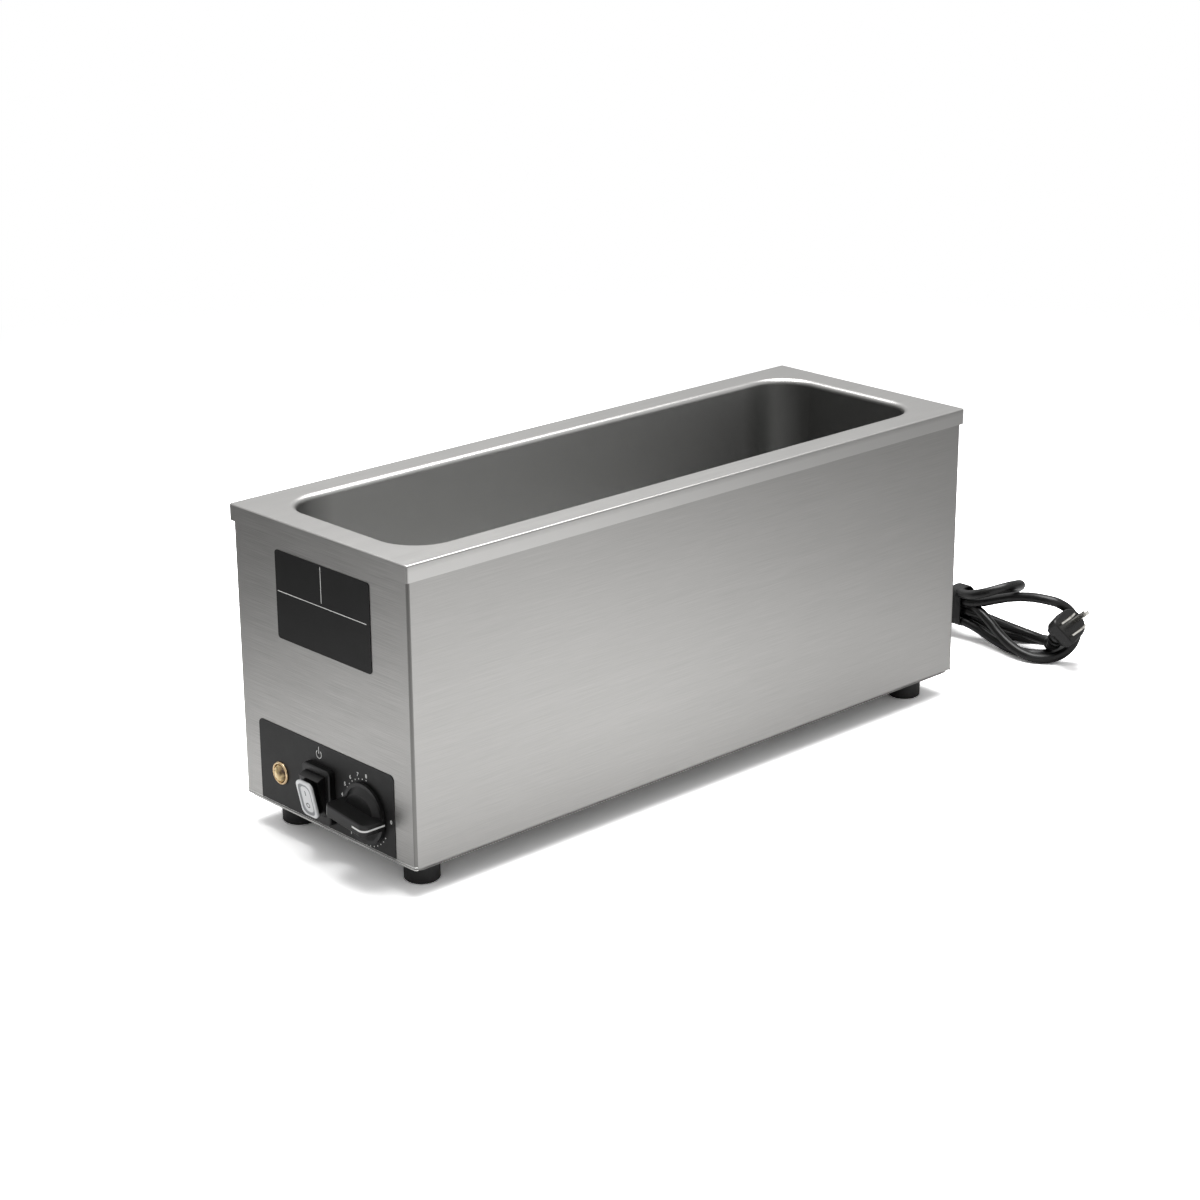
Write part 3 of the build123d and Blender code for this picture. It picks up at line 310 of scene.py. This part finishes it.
# The film's matt face spreads what it mirrors wide and faintly, so its IOR is taken low, and its texture is drawn
# as 0.35 mm so that it shows. Screen ink is flat and slightly uneven.
film_charcoal = moulded("matt_charcoal_polycarbonate", "#1A1A1A", "#202020", 0.46, 0.35 * mm, 0.02 * mm,
                        ior=1.42)
wear(nodes["control_overlay"], film_charcoal)
mark_ink = moulded("screen_printed_white", "#F2F2F0", "#E4E4E2", 0.55, 0.4 * mm, 0.005 * mm)
ink_thickness = 0.03 * mm
overlay_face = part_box("control_overlay")[0].y


def in_scene(name, data):
    """A new object in the scene."""
    thing = bpy.data.objects.new(name, data)
    bpy.context.scene.collection.objects.link(thing)
    return thing


def piece_from(name, shape, finish, body):
    """A new piece from a built mesh, in its finish, on its body."""
    bmesh.ops.recalc_face_normals(shape, faces=shape.faces)
    mesh = bpy.data.meshes.new(name)
    shape.to_mesh(mesh)
    shape.free()
    piece = in_scene(name, mesh)
    mesh.materials.append(finish)
    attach(piece, body)
    return piece


def slab(shape, outline, place, thickness):
    """A flat shape of some thickness, from its outline's points, put in place."""
    rings = [[shape.verts.new(place @ Vector((x, y, z))) for x, y in outline] for z in (0, thickness)]
    shape.faces.new(rings[0][::-1])
    shape.faces.new(rings[1])
    for i in range(len(outline)):
        j = (i + 1) % len(outline)
        shape.faces.new((rings[0][i], rings[0][j], rings[1][j], rings[1][i]))


def disc(radius, sides, x=0.0, y=0.0):
    """The points of a circle."""
    return [(x + radius * cos(2 * pi * i / sides), y + radius * sin(2 * pi * i / sides)) for i in range(sides)]


def arc_band(inner, outer, start, end, steps, x=0.0, y=0.0):
    """The points of a curved line, from one angle to another."""
    angles = [radians(start + (end - start) * i / steps) for i in range(steps + 1)]
    there = [(x + outer * cos(a), y + outer * sin(a)) for a in angles]
    back = [(x + inner * cos(a), y + inner * sin(a)) for a in reversed(angles)]
    return there + back


def bar(x0, y0, x1, y1):
    """The points of a straight line's box."""
    return [(x0, y0), (x1, y0), (x1, y1), (x0, y1)]


def on_face(x, z, y):
    """A place on the front, whose own X is across, Y up and Z out of the face."""
    turn = Matrix(((1, 0, 0), (0, 0, -1), (0, 1, 0))).to_4x4()
    return Matrix.Translation((x, y, z)) @ turn


# the dots, from the highest number down round the knob, in degrees
dial_x, dial_z = 43.4 * mm, 47.7 * mm
dot_circle, dot_radius, dot_sides = 23.6 * mm, 0.50 * mm, 10
first_dot, dot_pitch, dot_count = 87.6, 10.02, 25
shape = bmesh.new()
dial_place = on_face(dial_x, dial_z, overlay_face)
for i in range(dot_count):
    angle = radians(first_dot + i * dot_pitch)
    dot = disc(dot_radius, dot_sides, dot_circle * cos(angle), dot_circle * sin(angle))
    slab(shape, dot, dial_place, ink_thickness)
piece_from("dial_dots", shape, mark_ink, "body")

# the numbers, 8 at the first dot and 0 off on its own at the right
number_circle, number_size, number_weight = 26.6 * mm, 3.915 * mm, 0.1 * mm
zero_angle, number_step, highest_number = 2.4, 20.2, 8
for number in range(highest_number + 1):
    angle = radians(zero_angle if number == 0 else first_dot + (highest_number - number) * number_step)
    letter = bpy.data.curves.new(f"dial_number_{number}", "FONT")
    letter.body = str(number)
    letter.size = number_size
    letter.align_x = "CENTER"
    letter.align_y = "CENTER"
    letter.extrude = ink_thickness / 2
    letter.offset = number_weight
    letter.resolution_u = 3
    mark = in_scene(f"dial_number_{number}", letter)
    letter.materials.append(mark_ink)
    x, z = number_circle * cos(angle), number_circle * sin(angle)
    mark.matrix_world = on_face(dial_x + x, dial_z + z, overlay_face - ink_thickness / 2)
    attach(mark, "body")

# the power sign, a ring that is open at the top and a stem in the gap
power_x, power_z = -7.2 * mm, 75.0 * mm
power_ring, power_line, power_open, power_close = 3.1 * mm, 0.55 * mm, 125, 415
stem_foot, stem_top = 0.4 * mm, 5.5 * mm
shape = bmesh.new()
power_place = on_face(power_x, power_z, overlay_face)
ring = arc_band(power_ring - power_line, power_ring, power_open, power_close, 40)
slab(shape, ring, power_place, ink_thickness)
slab(shape, bar(-power_line / 2, stem_foot, power_line / 2, stem_top), power_place, ink_thickness)
piece_from("power_sign", shape, mark_ink, "body")


# ---- The hem's rolled edge ----
# The wrap's lower edge is rolled under, so two rounded lines of bare steel run along the foot of each end. They
# are painted pale as painted highlights, and are smoother than the faces above.

hem_middle = (wrap_low + wrap_high) / 2
hem_half = (wrap_high - wrap_low) / 2
hem_section = [(-0.5, -0.45), (0.1, -0.42), (0.4, -0.25), (0.55, 0.0), (0.48, 0.2), (0.3, 0.38), (0.05, 0.48),
               (-0.5, 0.5)]
# the hem's pale colour is a painted highlight
hem_painted_highlight = brushed_steel("rolled_hem_painted_highlight", 0.24, "#F4F4F2", "#DEDEDC")
hem_rises, hem_corner, hem_steps = (0.6 * mm, 2.4 * mm), 2.0 * mm, 5
back_corners, front_corners = ((1, 1), (-1, 1)), ((-1, -1), (1, -1))


def skin_rings(shape, rings, closed=False):
    """Smooth walls from each ring of points to the next, and the faces that they make, ring by ring."""
    walls = []
    for ring, after in zip(rings, rings[1:] + (rings[:1] if closed else [])):
        turns = [(i, (i + 1) % len(ring)) for i in range(len(ring))]
        walls.append([shape.faces.new((ring[i], ring[j], after[j], after[i])) for i, j in turns])
        for wall in walls[-1]:
            wall.smooth = True
    return walls


def cap_ends(shape, rings):
    """Flat faces over the first and the last ring."""
    shape.faces.new(rings[0][::-1])
    shape.faces.new(rings[-1])


shape = bmesh.new()
for hem_rise in hem_rises:
    for corners, first_angle in ((back_corners, 0), (front_corners, 180)):
        rings = []
        for turn, (side_x, side_y) in enumerate(corners):
            x = hem_middle.x + side_x * (hem_half.x - hem_corner)
            y = hem_middle.y + side_y * (hem_half.y - hem_corner)
            for i in range(hem_steps):
                angle = radians(first_angle + 90 * turn + 90 * i / (hem_steps - 1))
                rings.append([shape.verts.new((x + (hem_corner + out * mm) * cos(angle),
                                               y + (hem_corner + out * mm) * sin(angle),
                                               wrap_low.z + hem_rise + rise * mm)) for out, rise in hem_section])
        skin_rings(shape, rings)
        cap_ends(shape, rings)
piece_from("rolled_hem", shape, hem_painted_highlight, "body")


# ---- The label plate ----
# A black anodised aluminium plate, stuck on under the rim, with two thin printed rules that part it in three.
# Its satin anodising is near black and mirrors little, so its IOR is taken low too.

label_black = moulded("satin_black_anodised", "#090909", "#0E0E0E", 0.42, 0.4 * mm, 0.01 * mm, ior=1.36)
wear(nodes["label_plate"], label_black)
label_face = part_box("label_plate")[0].y
rule_width = 0.55 * mm
upright_x, upright_foot, upright_top = 2.8 * mm, 186.3 * mm, 212.0 * mm
level_z, level_left, level_right = 183.8 * mm, -45.5 * mm, 50.9 * mm
shape = bmesh.new()
rules = on_face(0, 0, label_face)
upright_rule = bar(upright_x - rule_width / 2, upright_foot, upright_x + rule_width / 2, upright_top)
level_rule = bar(level_left, level_z - rule_width / 2, level_right, level_z + rule_width / 2)
slab(shape, upright_rule, rules, ink_thickness)
slab(shape, level_rule, rules, ink_thickness)
piece_from("label_rules", shape, mark_ink, "body")


# ---- The pilot lamp ----
# A turned brass ring, polished and lacquered, pressed into the front. It holds a cut amber polycarbonate lens over
# the neon lamp.

brass_ring = plated_metal("lacquered_brass", "#F3DDB8", "#DDB98A", 0.20, 3 * mm)
pilot_x = -52.0 * mm
ring_profile = [(8.5, 0.0), (8.5, 0.5), (8.35, 0.95), (8.0, 1.35), (7.55, 1.55), (7.1, 1.5), (6.8, 1.2),
                (6.65, 0.7), (6.65, 0.0)]
ring_sides = 48
pilot_seat = on_face(pilot_x, dial_z, overlay_face)
shape = bmesh.new()
rings = [[shape.verts.new(pilot_seat @ Vector((x, y, rise * mm))) for x, y in disc(radius * mm, ring_sides)]
         for radius, rise in ring_profile]
skin_rings(shape, rings, closed=True)
pilot_ring = piece_from("brass_ring", shape, brass_ring, "body")
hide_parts("pilot_bezel")

# Cut amber polycarbonate, with painted light: painted highlights to the lower left, painted brown shade at the
# upper right, and painted glints about 4 mm across.
painted_glint_size, painted_glint_share = 3.846 * mm, 0.55
painted_light_slope, painted_dark_at, painted_pale_at = (90.0, 0, 45.0), -2.0, -2.65
amber = new_finish("cut_amber_polycarbonate")
lens_place = put(amber, "TexCoord").outputs["Object"]
painted_glints = put(amber, "TexNoise", {"Vector": lens_place, "Scale": 1 / painted_glint_size, "Detail": 2.0}).outputs[0]
# painted shade to the upper right and painted light to the lower left, by place on the lens
lens_painted_light = put(amber, "VectorMath", {0: lens_place, 1: painted_light_slope}, operation="DOT_PRODUCT").outputs["Value"]
lens_painted_light = put(amber, "MapRange", {0: lens_painted_light, 1: painted_dark_at, 2: painted_pale_at}).outputs[0]
lens_painted_tone = put(amber, "Mix", {0: painted_glint_share, 2: lens_painted_light, 3: painted_glints}).outputs[0]
lens_painted_tone = put(amber, "MapRange", {0: lens_painted_tone, 1: 0.22, 2: 0.72}).outputs[0]
lens_painted_colour = put(amber, "Mix", {0: lens_painted_tone, 6: linear("#3A1C08"), 7: linear("#FBDDA0")},
                 data_type="RGBA").outputs[2]
lens_skin = put(amber, "BsdfPrincipled", {"Base Color": lens_painted_colour, "Roughness": 0.16, "IOR": 1.58,
                                          "Metallic": 0.55, "Coat Weight": 0.6, "Coat Roughness": 0.04,
                                          "Subsurface Weight": 0.15,
                                          "Subsurface Radius": (0.004, 0.002, 0.001)})
put(amber, "OutputMaterial", {0: lens_skin.outputs[0]})

# the cut, as a share of the radius, a share of the rise, and half a facet's turn or none
lens_radius = 6.3 * mm
lens_rise = overlay_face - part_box("pilot_lens")[0].y
lens_rings = [(1.0, 0.0, 0), (1.0, 0.25, 0), (0.82, 0.62, 1), (0.52, 0.88, 0), (0.2, 1.0, 1)]
lens_cuts = 10
shape = bmesh.new()
rounds = []
for share, rise, shift in lens_rings:
    ring = disc(lens_radius * share, lens_cuts)
    spin = Matrix.Rotation(pi / lens_cuts * shift, 4, "Z")
    rounds.append([shape.verts.new(pilot_seat @ spin @ Vector((x, y, rise * lens_rise))) for x, y in ring])
for lower, upper in zip(rounds, rounds[1:]):
    for i in range(lens_cuts):
        j = (i + 1) % lens_cuts
        shape.faces.new((lower[i], lower[j], upper[i]))
        shape.faces.new((lower[j], upper[j], upper[i]))
cap_ends(shape, rounds)
lens = piece_from("cut_lens", shape, amber, "body")
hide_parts("pilot_lens")


# ---- The rocker switch's cap and its marks ----
# A pale grey ABS cap clipped on the black rocker by a short neck. It has a domed frame and, inside a sunk groove,
# a raised middle, on which a bar above is on and a ring below is off, both printed grey.

cap_rest = radians(12.5)
rocker_axis = Matrix.Translation((-5.0 * mm, -274.4 * mm, 48.7 * mm))
rocker_turn = Matrix(((1, 0, 0), (0, -sin(cap_rest), -cos(cap_rest)),
                      (0, cos(cap_rest), -sin(cap_rest)))).to_4x4()
cap_place = rocker_axis @ rocker_turn @ Matrix.Translation((0, -0.3 * mm, 6.4 * mm))


def round_box(half_width, half_height, corner, steps=7):
    """The points of a box outline with round corners."""
    points = []
    for quarter, (sx, sy) in enumerate(((1, 1), (-1, 1), (-1, -1), (1, -1))):
        x, y = sx * (half_width - corner), sy * (half_height - corner)
        for i in range(steps):
            angle = radians(90 * quarter + 90 * i / (steps - 1))
            points.append((x + corner * cos(angle), y + corner * sin(angle)))
    return points


# each level's half width, half height, corner and rise in mm, then the walls between levels that are flat, that
# are the black neck, and that are the groove, which is painted darker as painted shade in its recess
cap_levels = [(7.7, 12.9, 4.4, -1.8), (7.7, 12.9, 4.4, 1.6), (8.5, 13.9, 4.2, 1.6), (8.6, 14.0, 4.3, 3.0),
              (8.5, 13.9, 4.2, 3.45), (8.2, 13.6, 4.1, 3.8), (7.9, 13.3, 4.0, 3.9), (7.1, 12.5, 4.8, 3.9),
              (6.8, 12.2, 4.8, 3.7), (6.3, 11.6, 4.8, 3.1), (5.6, 10.8, 4.7, 2.95), (5.1, 10.2, 4.4, 3.2),
              (4.7, 9.8, 4.1, 3.35)]
cap_flat, cap_neck, cap_groove = {1, 6}, {0, 1}, {8, 9, 10}
# the groove's darker grey is painted shade
groove_painted_shade = moulded("cap_groove_painted_shade", "#9C9EA1", "#A8AAAD", 0.34, 0.9 * mm, 0.01 * mm)
shape = bmesh.new()
levels = [[shape.verts.new(cap_place @ Vector((x * mm, y * mm, z * mm))) for x, y in round_box(w, h, r)]
          for w, h, r, z in cap_levels]
for k, walls in enumerate(skin_rings(shape, levels)):
    for wall in walls:
        wall.smooth = k not in cap_flat
        wall.material_index = 2 if k in cap_neck else int(k in cap_groove)
cap_ends(shape, levels)
cap = piece_from("pale_cap", shape, cap_grey, "rocker")
cap.data.materials.append(groove_painted_shade)
cap.data.materials.append(black_nylon)
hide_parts("rocker_cap")

# the printed marks, on the raised middle
mark_grey = moulded("printed_mark_grey", "#5A5A5A", "#666666", 0.45, 0.4 * mm, 0.005 * mm)
mark_place = cap_place @ Matrix.Translation((0, 0, cap_levels[-1][3] * mm))
bar_half, bar_foot, bar_top = 0.4 * mm, 2.9 * mm, 6.7 * mm
zero_inner, zero_outer, zero_y = 1.3 * mm, 2.05 * mm, -4.9 * mm
shape = bmesh.new()
slab(shape, bar(-bar_half, bar_foot, bar_half, bar_top), mark_place, ink_thickness)
slab(shape, arc_band(zero_inner, zero_outer, 0, 359.9, 24, 0, zero_y), mark_place, ink_thickness)
piece_from("rocker_marks", shape, mark_grey, "rocker")


# ---- The cord, its strain relief, its tie and its plug ----
# A three-core rubber-jacketed lead, 8 mm across. It leaves the back through a tapered strain relief, and lies
# behind the body in a hank, bound by a black band and ended by a moulded plug that lies on it.

cord_width = 8 * mm
cord_points = [
    # out of the strain relief, down to the floor and round the left end
    (-30, 278.4, 46.8), (-30, 305.5, 46.8), (-33, 330, 38), (-42, 349, 22), (-58, 357, 9), (-78, 360, 4.2),
    (-92, 376, 4.2), (-92, 404, 4.2), (-76, 421, 5), (-50, 421, 14), (-22, 407, 32),
    # the narrow upper loop
    (14, 383.75, 41), (36, 369, 46.5), (54.5, 369, 54), (67, 381.5, 59.5), (67, 399.5, 57.5), (54.5, 412, 48),
    (36, 409, 39.5),
    # the top fold on the left
    (14, 391, 37), (-18, 380, 32), (-51, 369, 23), (-69, 369, 21), (-82, 381.6, 20.6), (-82, 400.4, 20.6),
    (-69, 413, 20.6), (-51, 413, 21), (-20, 401, 28),
    # the wide arc, round behind the plug and back low in front
    (14, 383.75, 33), (34, 385, 36), (50, 387, 42.5), (66, 388, 48.5), (84, 389, 52.8), (98, 390, 54),
    (109.5, 394, 53), (117, 402, 45.5), (120, 408.5, 30), (117, 406, 13.5), (109, 394, 4.2), (97, 382, 4.3),
    (84, 379, 7), (72, 379, 11.5), (61, 380, 17), (49, 382, 24), (34, 385, 30.5),
    # the middle fold on the left
    (14, 391, 29), (-20, 402, 20), (-51, 413, 12.6), (-69, 413, 12.4), (-82, 400.4, 12.4), (-82, 381.6, 12.4),
    (-69, 369, 12.4), (-51, 369, 12.8), (-20, 377, 14),
    # the low loop on the floor
    (14, 383.75, 17.5), (30, 386, 14.5), (46, 387, 8.5), (60, 387, 5), (71, 386.5, 4.2), (87, 387, 4.2),
    (98.5, 398.5, 4.2), (98.5, 415, 4.2), (87, 426.5, 4.2), (72, 424.5, 4.2), (57, 413, 4.2), (43, 404, 7),
    (30, 398, 14),
    # the lowest fold on the left
    (14, 391, 21.4), (-16, 384, 8.5), (-51, 369, 4.2), (-69, 369, 4.2), (-82, 381.6, 4.2), (-82, 400.4, 4.2),
    (-69, 413, 4.2), (-51, 413, 4.5), (-26, 404, 11), (-5, 393, 19),
    # to the plug
    (14, 386, 25.2), (31, 389.5, 24), (45, 397, 19), (58, 404, 14.5), (72, 406.5, 12.5), (86, 406, 12),
    (97.5, 402.5, 12.3), (106.5, 396.5, 16.5), (112.5, 390.5, 23.5), (117, 386.5, 31),
]
cord_curve = bpy.data.curves.new("supply_cord", "CURVE")
cord_curve.dimensions = "3D"
line = cord_curve.splines.new("NURBS")
line.points.add(len(cord_points) - 1)
for point, (x, y, z) in zip(line.points, cord_points):
    point.co = (x * mm, y * mm, z * mm, 1)
line.order_u = 3
line.use_endpoint_u = True
line.resolution_u = 10
supply_cord = in_scene("supply_cord", cord_curve)
bare_line = bpy.data.meshes.new_from_object(supply_cord)
cord_path = [vertex.co.copy() for vertex in bare_line.vertices]
bpy.data.meshes.remove(bare_line)
cord_curve.bevel_depth = cord_width / 2
cord_curve.bevel_resolution = 5
cord_curve.materials.append(cord_rubber)
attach(supply_cord, "body")
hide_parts("power_cord", "cord_hank")

# the strain relief, threaded on the cord's own line: a collar, five ribs that taper, and a lip. Each profile point
# is a distance along the cord and a radius, in mm.
rib_count, first_rib, rib_pitch, rib_radius, rib_taper = 5, 3.2, 5.4, 7.3, 0.36
relief_profile = [(0.0, 7.6), (1.5, 7.8), (2.4, 7.6)]
for i in range(rib_count):
    start, size = first_rib + rib_pitch * i, rib_radius - rib_taper * i
    relief_profile += [(start, size - 0.9), (start + 0.6, size), (start + 3.4, size - 0.2),
                       (start + 4.0, size - 1.1)]
relief_profile += [(31.5, 5.1), (32.2, 4.7), (32.2, 4.05)]
relief_sides = 28
travelled = [0.0]
for before, here in zip(cord_path, cord_path[1:]):
    travelled.append(travelled[-1] + (here - before).length)
relief_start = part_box("gland_body")[1].y - 1.0 * mm - cord_path[0].y
shape = bmesh.new()
rings = []
for distance, radius in relief_profile:
    wanted = relief_start + distance * mm
    i = next(k for k in range(1, len(travelled)) if travelled[k] >= wanted)
    share = (wanted - travelled[i - 1]) / (travelled[i] - travelled[i - 1])
    middle = cord_path[i - 1].lerp(cord_path[i], share)
    ahead = (cord_path[i + 1] - cord_path[i - 1]).normalized()
    across = ahead.cross(Vector((0, 0, 1))).normalized()
    upward = across.cross(ahead)
    circle = disc(radius * mm, relief_sides)
    rings.append([shape.verts.new(middle + across * x + upward * z) for x, z in circle])
skin_rings(shape, rings)
cap_ends(shape, rings)
piece_from("strain_relief", shape, black_nylon, "body")

# the tie, a woven band round all the turns, which spreads the light more than the cord does. Its section is in
# shares of its width and of its wall.
tie_finish = moulded("woven_black_tie", "#0F0F0F", "#1A1A1A", 0.62, 0.6 * mm, 0.08 * mm)
tie_width, tie_wall, tie_corner = 12.0 * mm, 1.3 * mm, 6.5 * mm
tie_middle = Vector((14.0 * mm, 387.3 * mm, 29.2 * mm))
tie_half_depth, tie_half_height = 8.2 * mm, 16.1 * mm
loop = [Vector(point) for point in round_box(tie_half_depth, tie_half_height, tie_corner)]
tie_section = [(-0.5, 0.25), (-0.47, 0.85), (-0.36, 1.0), (0.36, 1.0), (0.47, 0.85), (0.5, 0.25), (0.44, 0.0),
               (-0.44, 0.0)]
shape = bmesh.new()
rings = []
for k, point in enumerate(loop):
    ahead = (loop[(k + 1) % len(loop)] - loop[k - 1]).normalized()
    outward = Vector((ahead.y, -ahead.x))
    ring = []
    for across, rise in tie_section:
        out = point + outward * rise * tie_wall
        ring.append(shape.verts.new(tie_middle + Vector((across * tie_width, out.x, out.y))))
    rings.append(ring)
skin_rings(shape, rings, closed=True)
cord_tie = piece_from("tie_band", shape, tie_finish, "body")
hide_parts("cord_tie")


# ---- The floor, the lights and the camera ----
# A plain pale floor that runs into a white surround, with one large soft lamp overhead. The steel mirrors both, so
# the surround is shaded for what it mirrors, and the floor as mirrored carries painted shade and a painted pool of
# light; both stay plain white to the eye.

floor_half = 4.0
floor_gain = 2.3
floor_cloud_size = 0.3333
nearness = (0.707, -0.707, 0)
pool_start, pool_end = 0.55, 1.6
floor_white = new_finish("pale_floor")
rays = put(floor_white, "LightPath").outputs
floor_place = put(floor_white, "TexCoord").outputs["Object"]
floor_spot = put(floor_white, "SeparateXYZ", {0: floor_place}).outputs
floor_cloud = put(floor_white, "TexNoise", {"Vector": floor_place, "Scale": 1 / floor_cloud_size,
                                            "Detail": 2.0}).outputs[0]
floor_tone = put(floor_white, "Mix", {0: floor_cloud, 6: linear("#F4F4F4"), 7: linear("#F7F7F7")},
                 data_type="RGBA").outputs[2]

# painted light seen only in the steel, to the left, to the back, to the right and in front: where a change starts
# and ends, and its gains there; to the right it is a painted pool of light, elsewhere painted shade
nearer = put(floor_white, "VectorMath", {0: floor_place, 1: nearness}, operation="DOT_PRODUCT").outputs[1]
mirrored_painted_light = 1.0
for measure, start, end, first_gain, last_gain in ((floor_spot["X"], -0.10, -0.52, 1.0, 0.30),
                                                   (floor_spot["Y"], 0.05, 0.66, 1.0, 0.38),
                                                   (floor_spot["X"], 0.18, 0.62, 0.95, 1.35),
                                                   (nearer, 0.38, 0.85, 1.0, 0.25)):
    gain = put(floor_white, "MapRange", {0: measure, 1: start, 2: end, 3: first_gain, 4: last_gain}).outputs[0]
    mirrored_painted_light = put(floor_white, "Math", {0: mirrored_painted_light, 1: gain}, operation="MULTIPLY").outputs[0]
mirrored_painted_light = put(floor_white, "Mix", {0: mirrored_painted_light, 6: (0, 0, 0, 1), 7: floor_tone}, data_type="RGBA").outputs[2]
floor_tone = put(floor_white, "Mix", {0: rays["Is Glossy Ray"], 6: floor_tone, 7: mirrored_painted_light},
                 data_type="RGBA").outputs[2]
floor_tone = put(floor_white, "Mix", {0: rays["Is Camera Ray"], 6: floor_tone,
                                      7: (floor_gain, floor_gain, floor_gain, 1)}, data_type="RGBA").outputs[2]
floor_skin = put(floor_white, "BsdfDiffuse", {"Color": floor_tone}).outputs[0]

# away from the object the floor turns to plain white, so that its edge is never seen
pool_edge = put(floor_white, "VectorMath", {0: floor_place}, operation="LENGTH").outputs["Value"]
pool_edge = put(floor_white, "MapRange", {0: pool_edge, 1: pool_start, 2: pool_end},
                interpolation_type="SMOOTHSTEP").outputs[0]
pool_edge = put(floor_white, "Math", {0: pool_edge, 1: rays["Is Camera Ray"]}, operation="MULTIPLY").outputs[0]
floor_glow = put(floor_white, "Emission", {"Color": (1, 1, 1, 1), "Strength": 1.0}).outputs[0]
floor_skin = put(floor_white, "MixShader", {0: pool_edge, 1: floor_skin, 2: floor_glow}).outputs[0]
put(floor_white, "OutputMaterial", {0: floor_skin})
shape = bmesh.new()
shape.faces.new([shape.verts.new((x, y, 0)) for x, y in bar(-floor_half, -floor_half, floor_half, floor_half)])
mesh = bpy.data.meshes.new("floor")
shape.to_mesh(mesh)
shape.free()
floor = in_scene("floor", mesh)
mesh.materials.append(floor_white)
floor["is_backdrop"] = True

# the surround: white to the eye, a sweep from grey at the horizon to brighter above in the steel, and a low fill
# for everything else
sweep_foot, sweep_top, foot_glow, top_glow, fill_light = 0.02, 0.34, 0.28, 0.72, 0.42
surround = bpy.data.worlds.new("white_surround")
surround.use_nodes = True
surround.node_tree.nodes.clear()
sight = put(surround, "LightPath").outputs
seen = put(surround, "Math", {0: sight["Is Camera Ray"], 1: sight["Is Glossy Ray"]},
           operation="MAXIMUM").outputs[0]
seen = put(surround, "Math", {0: seen, 1: sight["Is Transmission Ray"]}, operation="MAXIMUM").outputs[0]
towards = put(surround, "TexCoord").outputs["Generated"]
height = put(surround, "SeparateXYZ", {0: towards}).outputs["Z"]
sweep = put(surround, "MapRange", {0: height, 1: sweep_foot, 2: sweep_top, 3: foot_glow, 4: top_glow},
            interpolation_type="SMOOTHSTEP")
sweep = put(surround, "Mix", {0: sight["Is Glossy Ray"], 2: 1.0, 3: sweep.outputs[0]}).outputs[0]
strength = put(surround, "MapRange", {0: seen, 3: fill_light, 4: sweep}).outputs[0]
white = put(surround, "Background", {"Color": (1, 1, 1, 1), "Strength": strength})
put(surround, "OutputWorld", {0: white.outputs[0]})
bpy.context.scene.world = surround

# the lamp, a soft box that faces the body, in metres and watts
lamp_place, lamp_aim = Vector((-0.06, 0.10, 1.10)), Vector((0.02, 0.02, 0))
lamp = bpy.data.lights.new("overhead_lamp", "AREA")
lamp.shape = "RECTANGLE"
lamp.size, lamp.size_y, lamp.energy = 0.95, 1.0, 18.5
lamp_holder = in_scene("overhead_lamp", lamp)
lamp_holder.location = lamp_place
lamp_holder.rotation_euler = (lamp_aim - lamp_place).to_track_quat("-Z", "Y").to_euler()

# the camera, turned from its azimuth, its elevation and a slight roll
camera = bpy.data.cameras.new("camera")
camera.lens, camera.sensor_width = 80.41, 36.0
camera_place = Vector((1363.1, -1283.15, 771.9)) * mm
azimuth, elevation, roll = radians(47.04865), radians(19.1171), radians(-0.37081)
behind = Vector((sin(azimuth) * cos(elevation), -cos(azimuth) * cos(elevation), sin(elevation)))
level_right = (-behind).cross(Vector((0, 0, 1))).normalized()
level_up = level_right.cross(-behind)
right = level_right * cos(roll) + level_up * sin(roll)
up = level_up * cos(roll) - level_right * sin(roll)
turned = Matrix((right, up, behind)).transposed().to_4x4()
camera_holder = in_scene("camera", camera)
camera_holder.matrix_world = Matrix.Translation(camera_place) @ turned
bpy.context.scene.camera = camera_holder
bpy.context.scene.view_settings.view_transform = "Standard"


# ---- The sizes, kept for comparison ----
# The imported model's box and the finished one's, as plain lists in metres. The two should agree to within what the
# cord may stand proud.

corners = {"cad": [list(corner) for corner in cad_box], "visual": [list(corner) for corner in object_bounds()]}
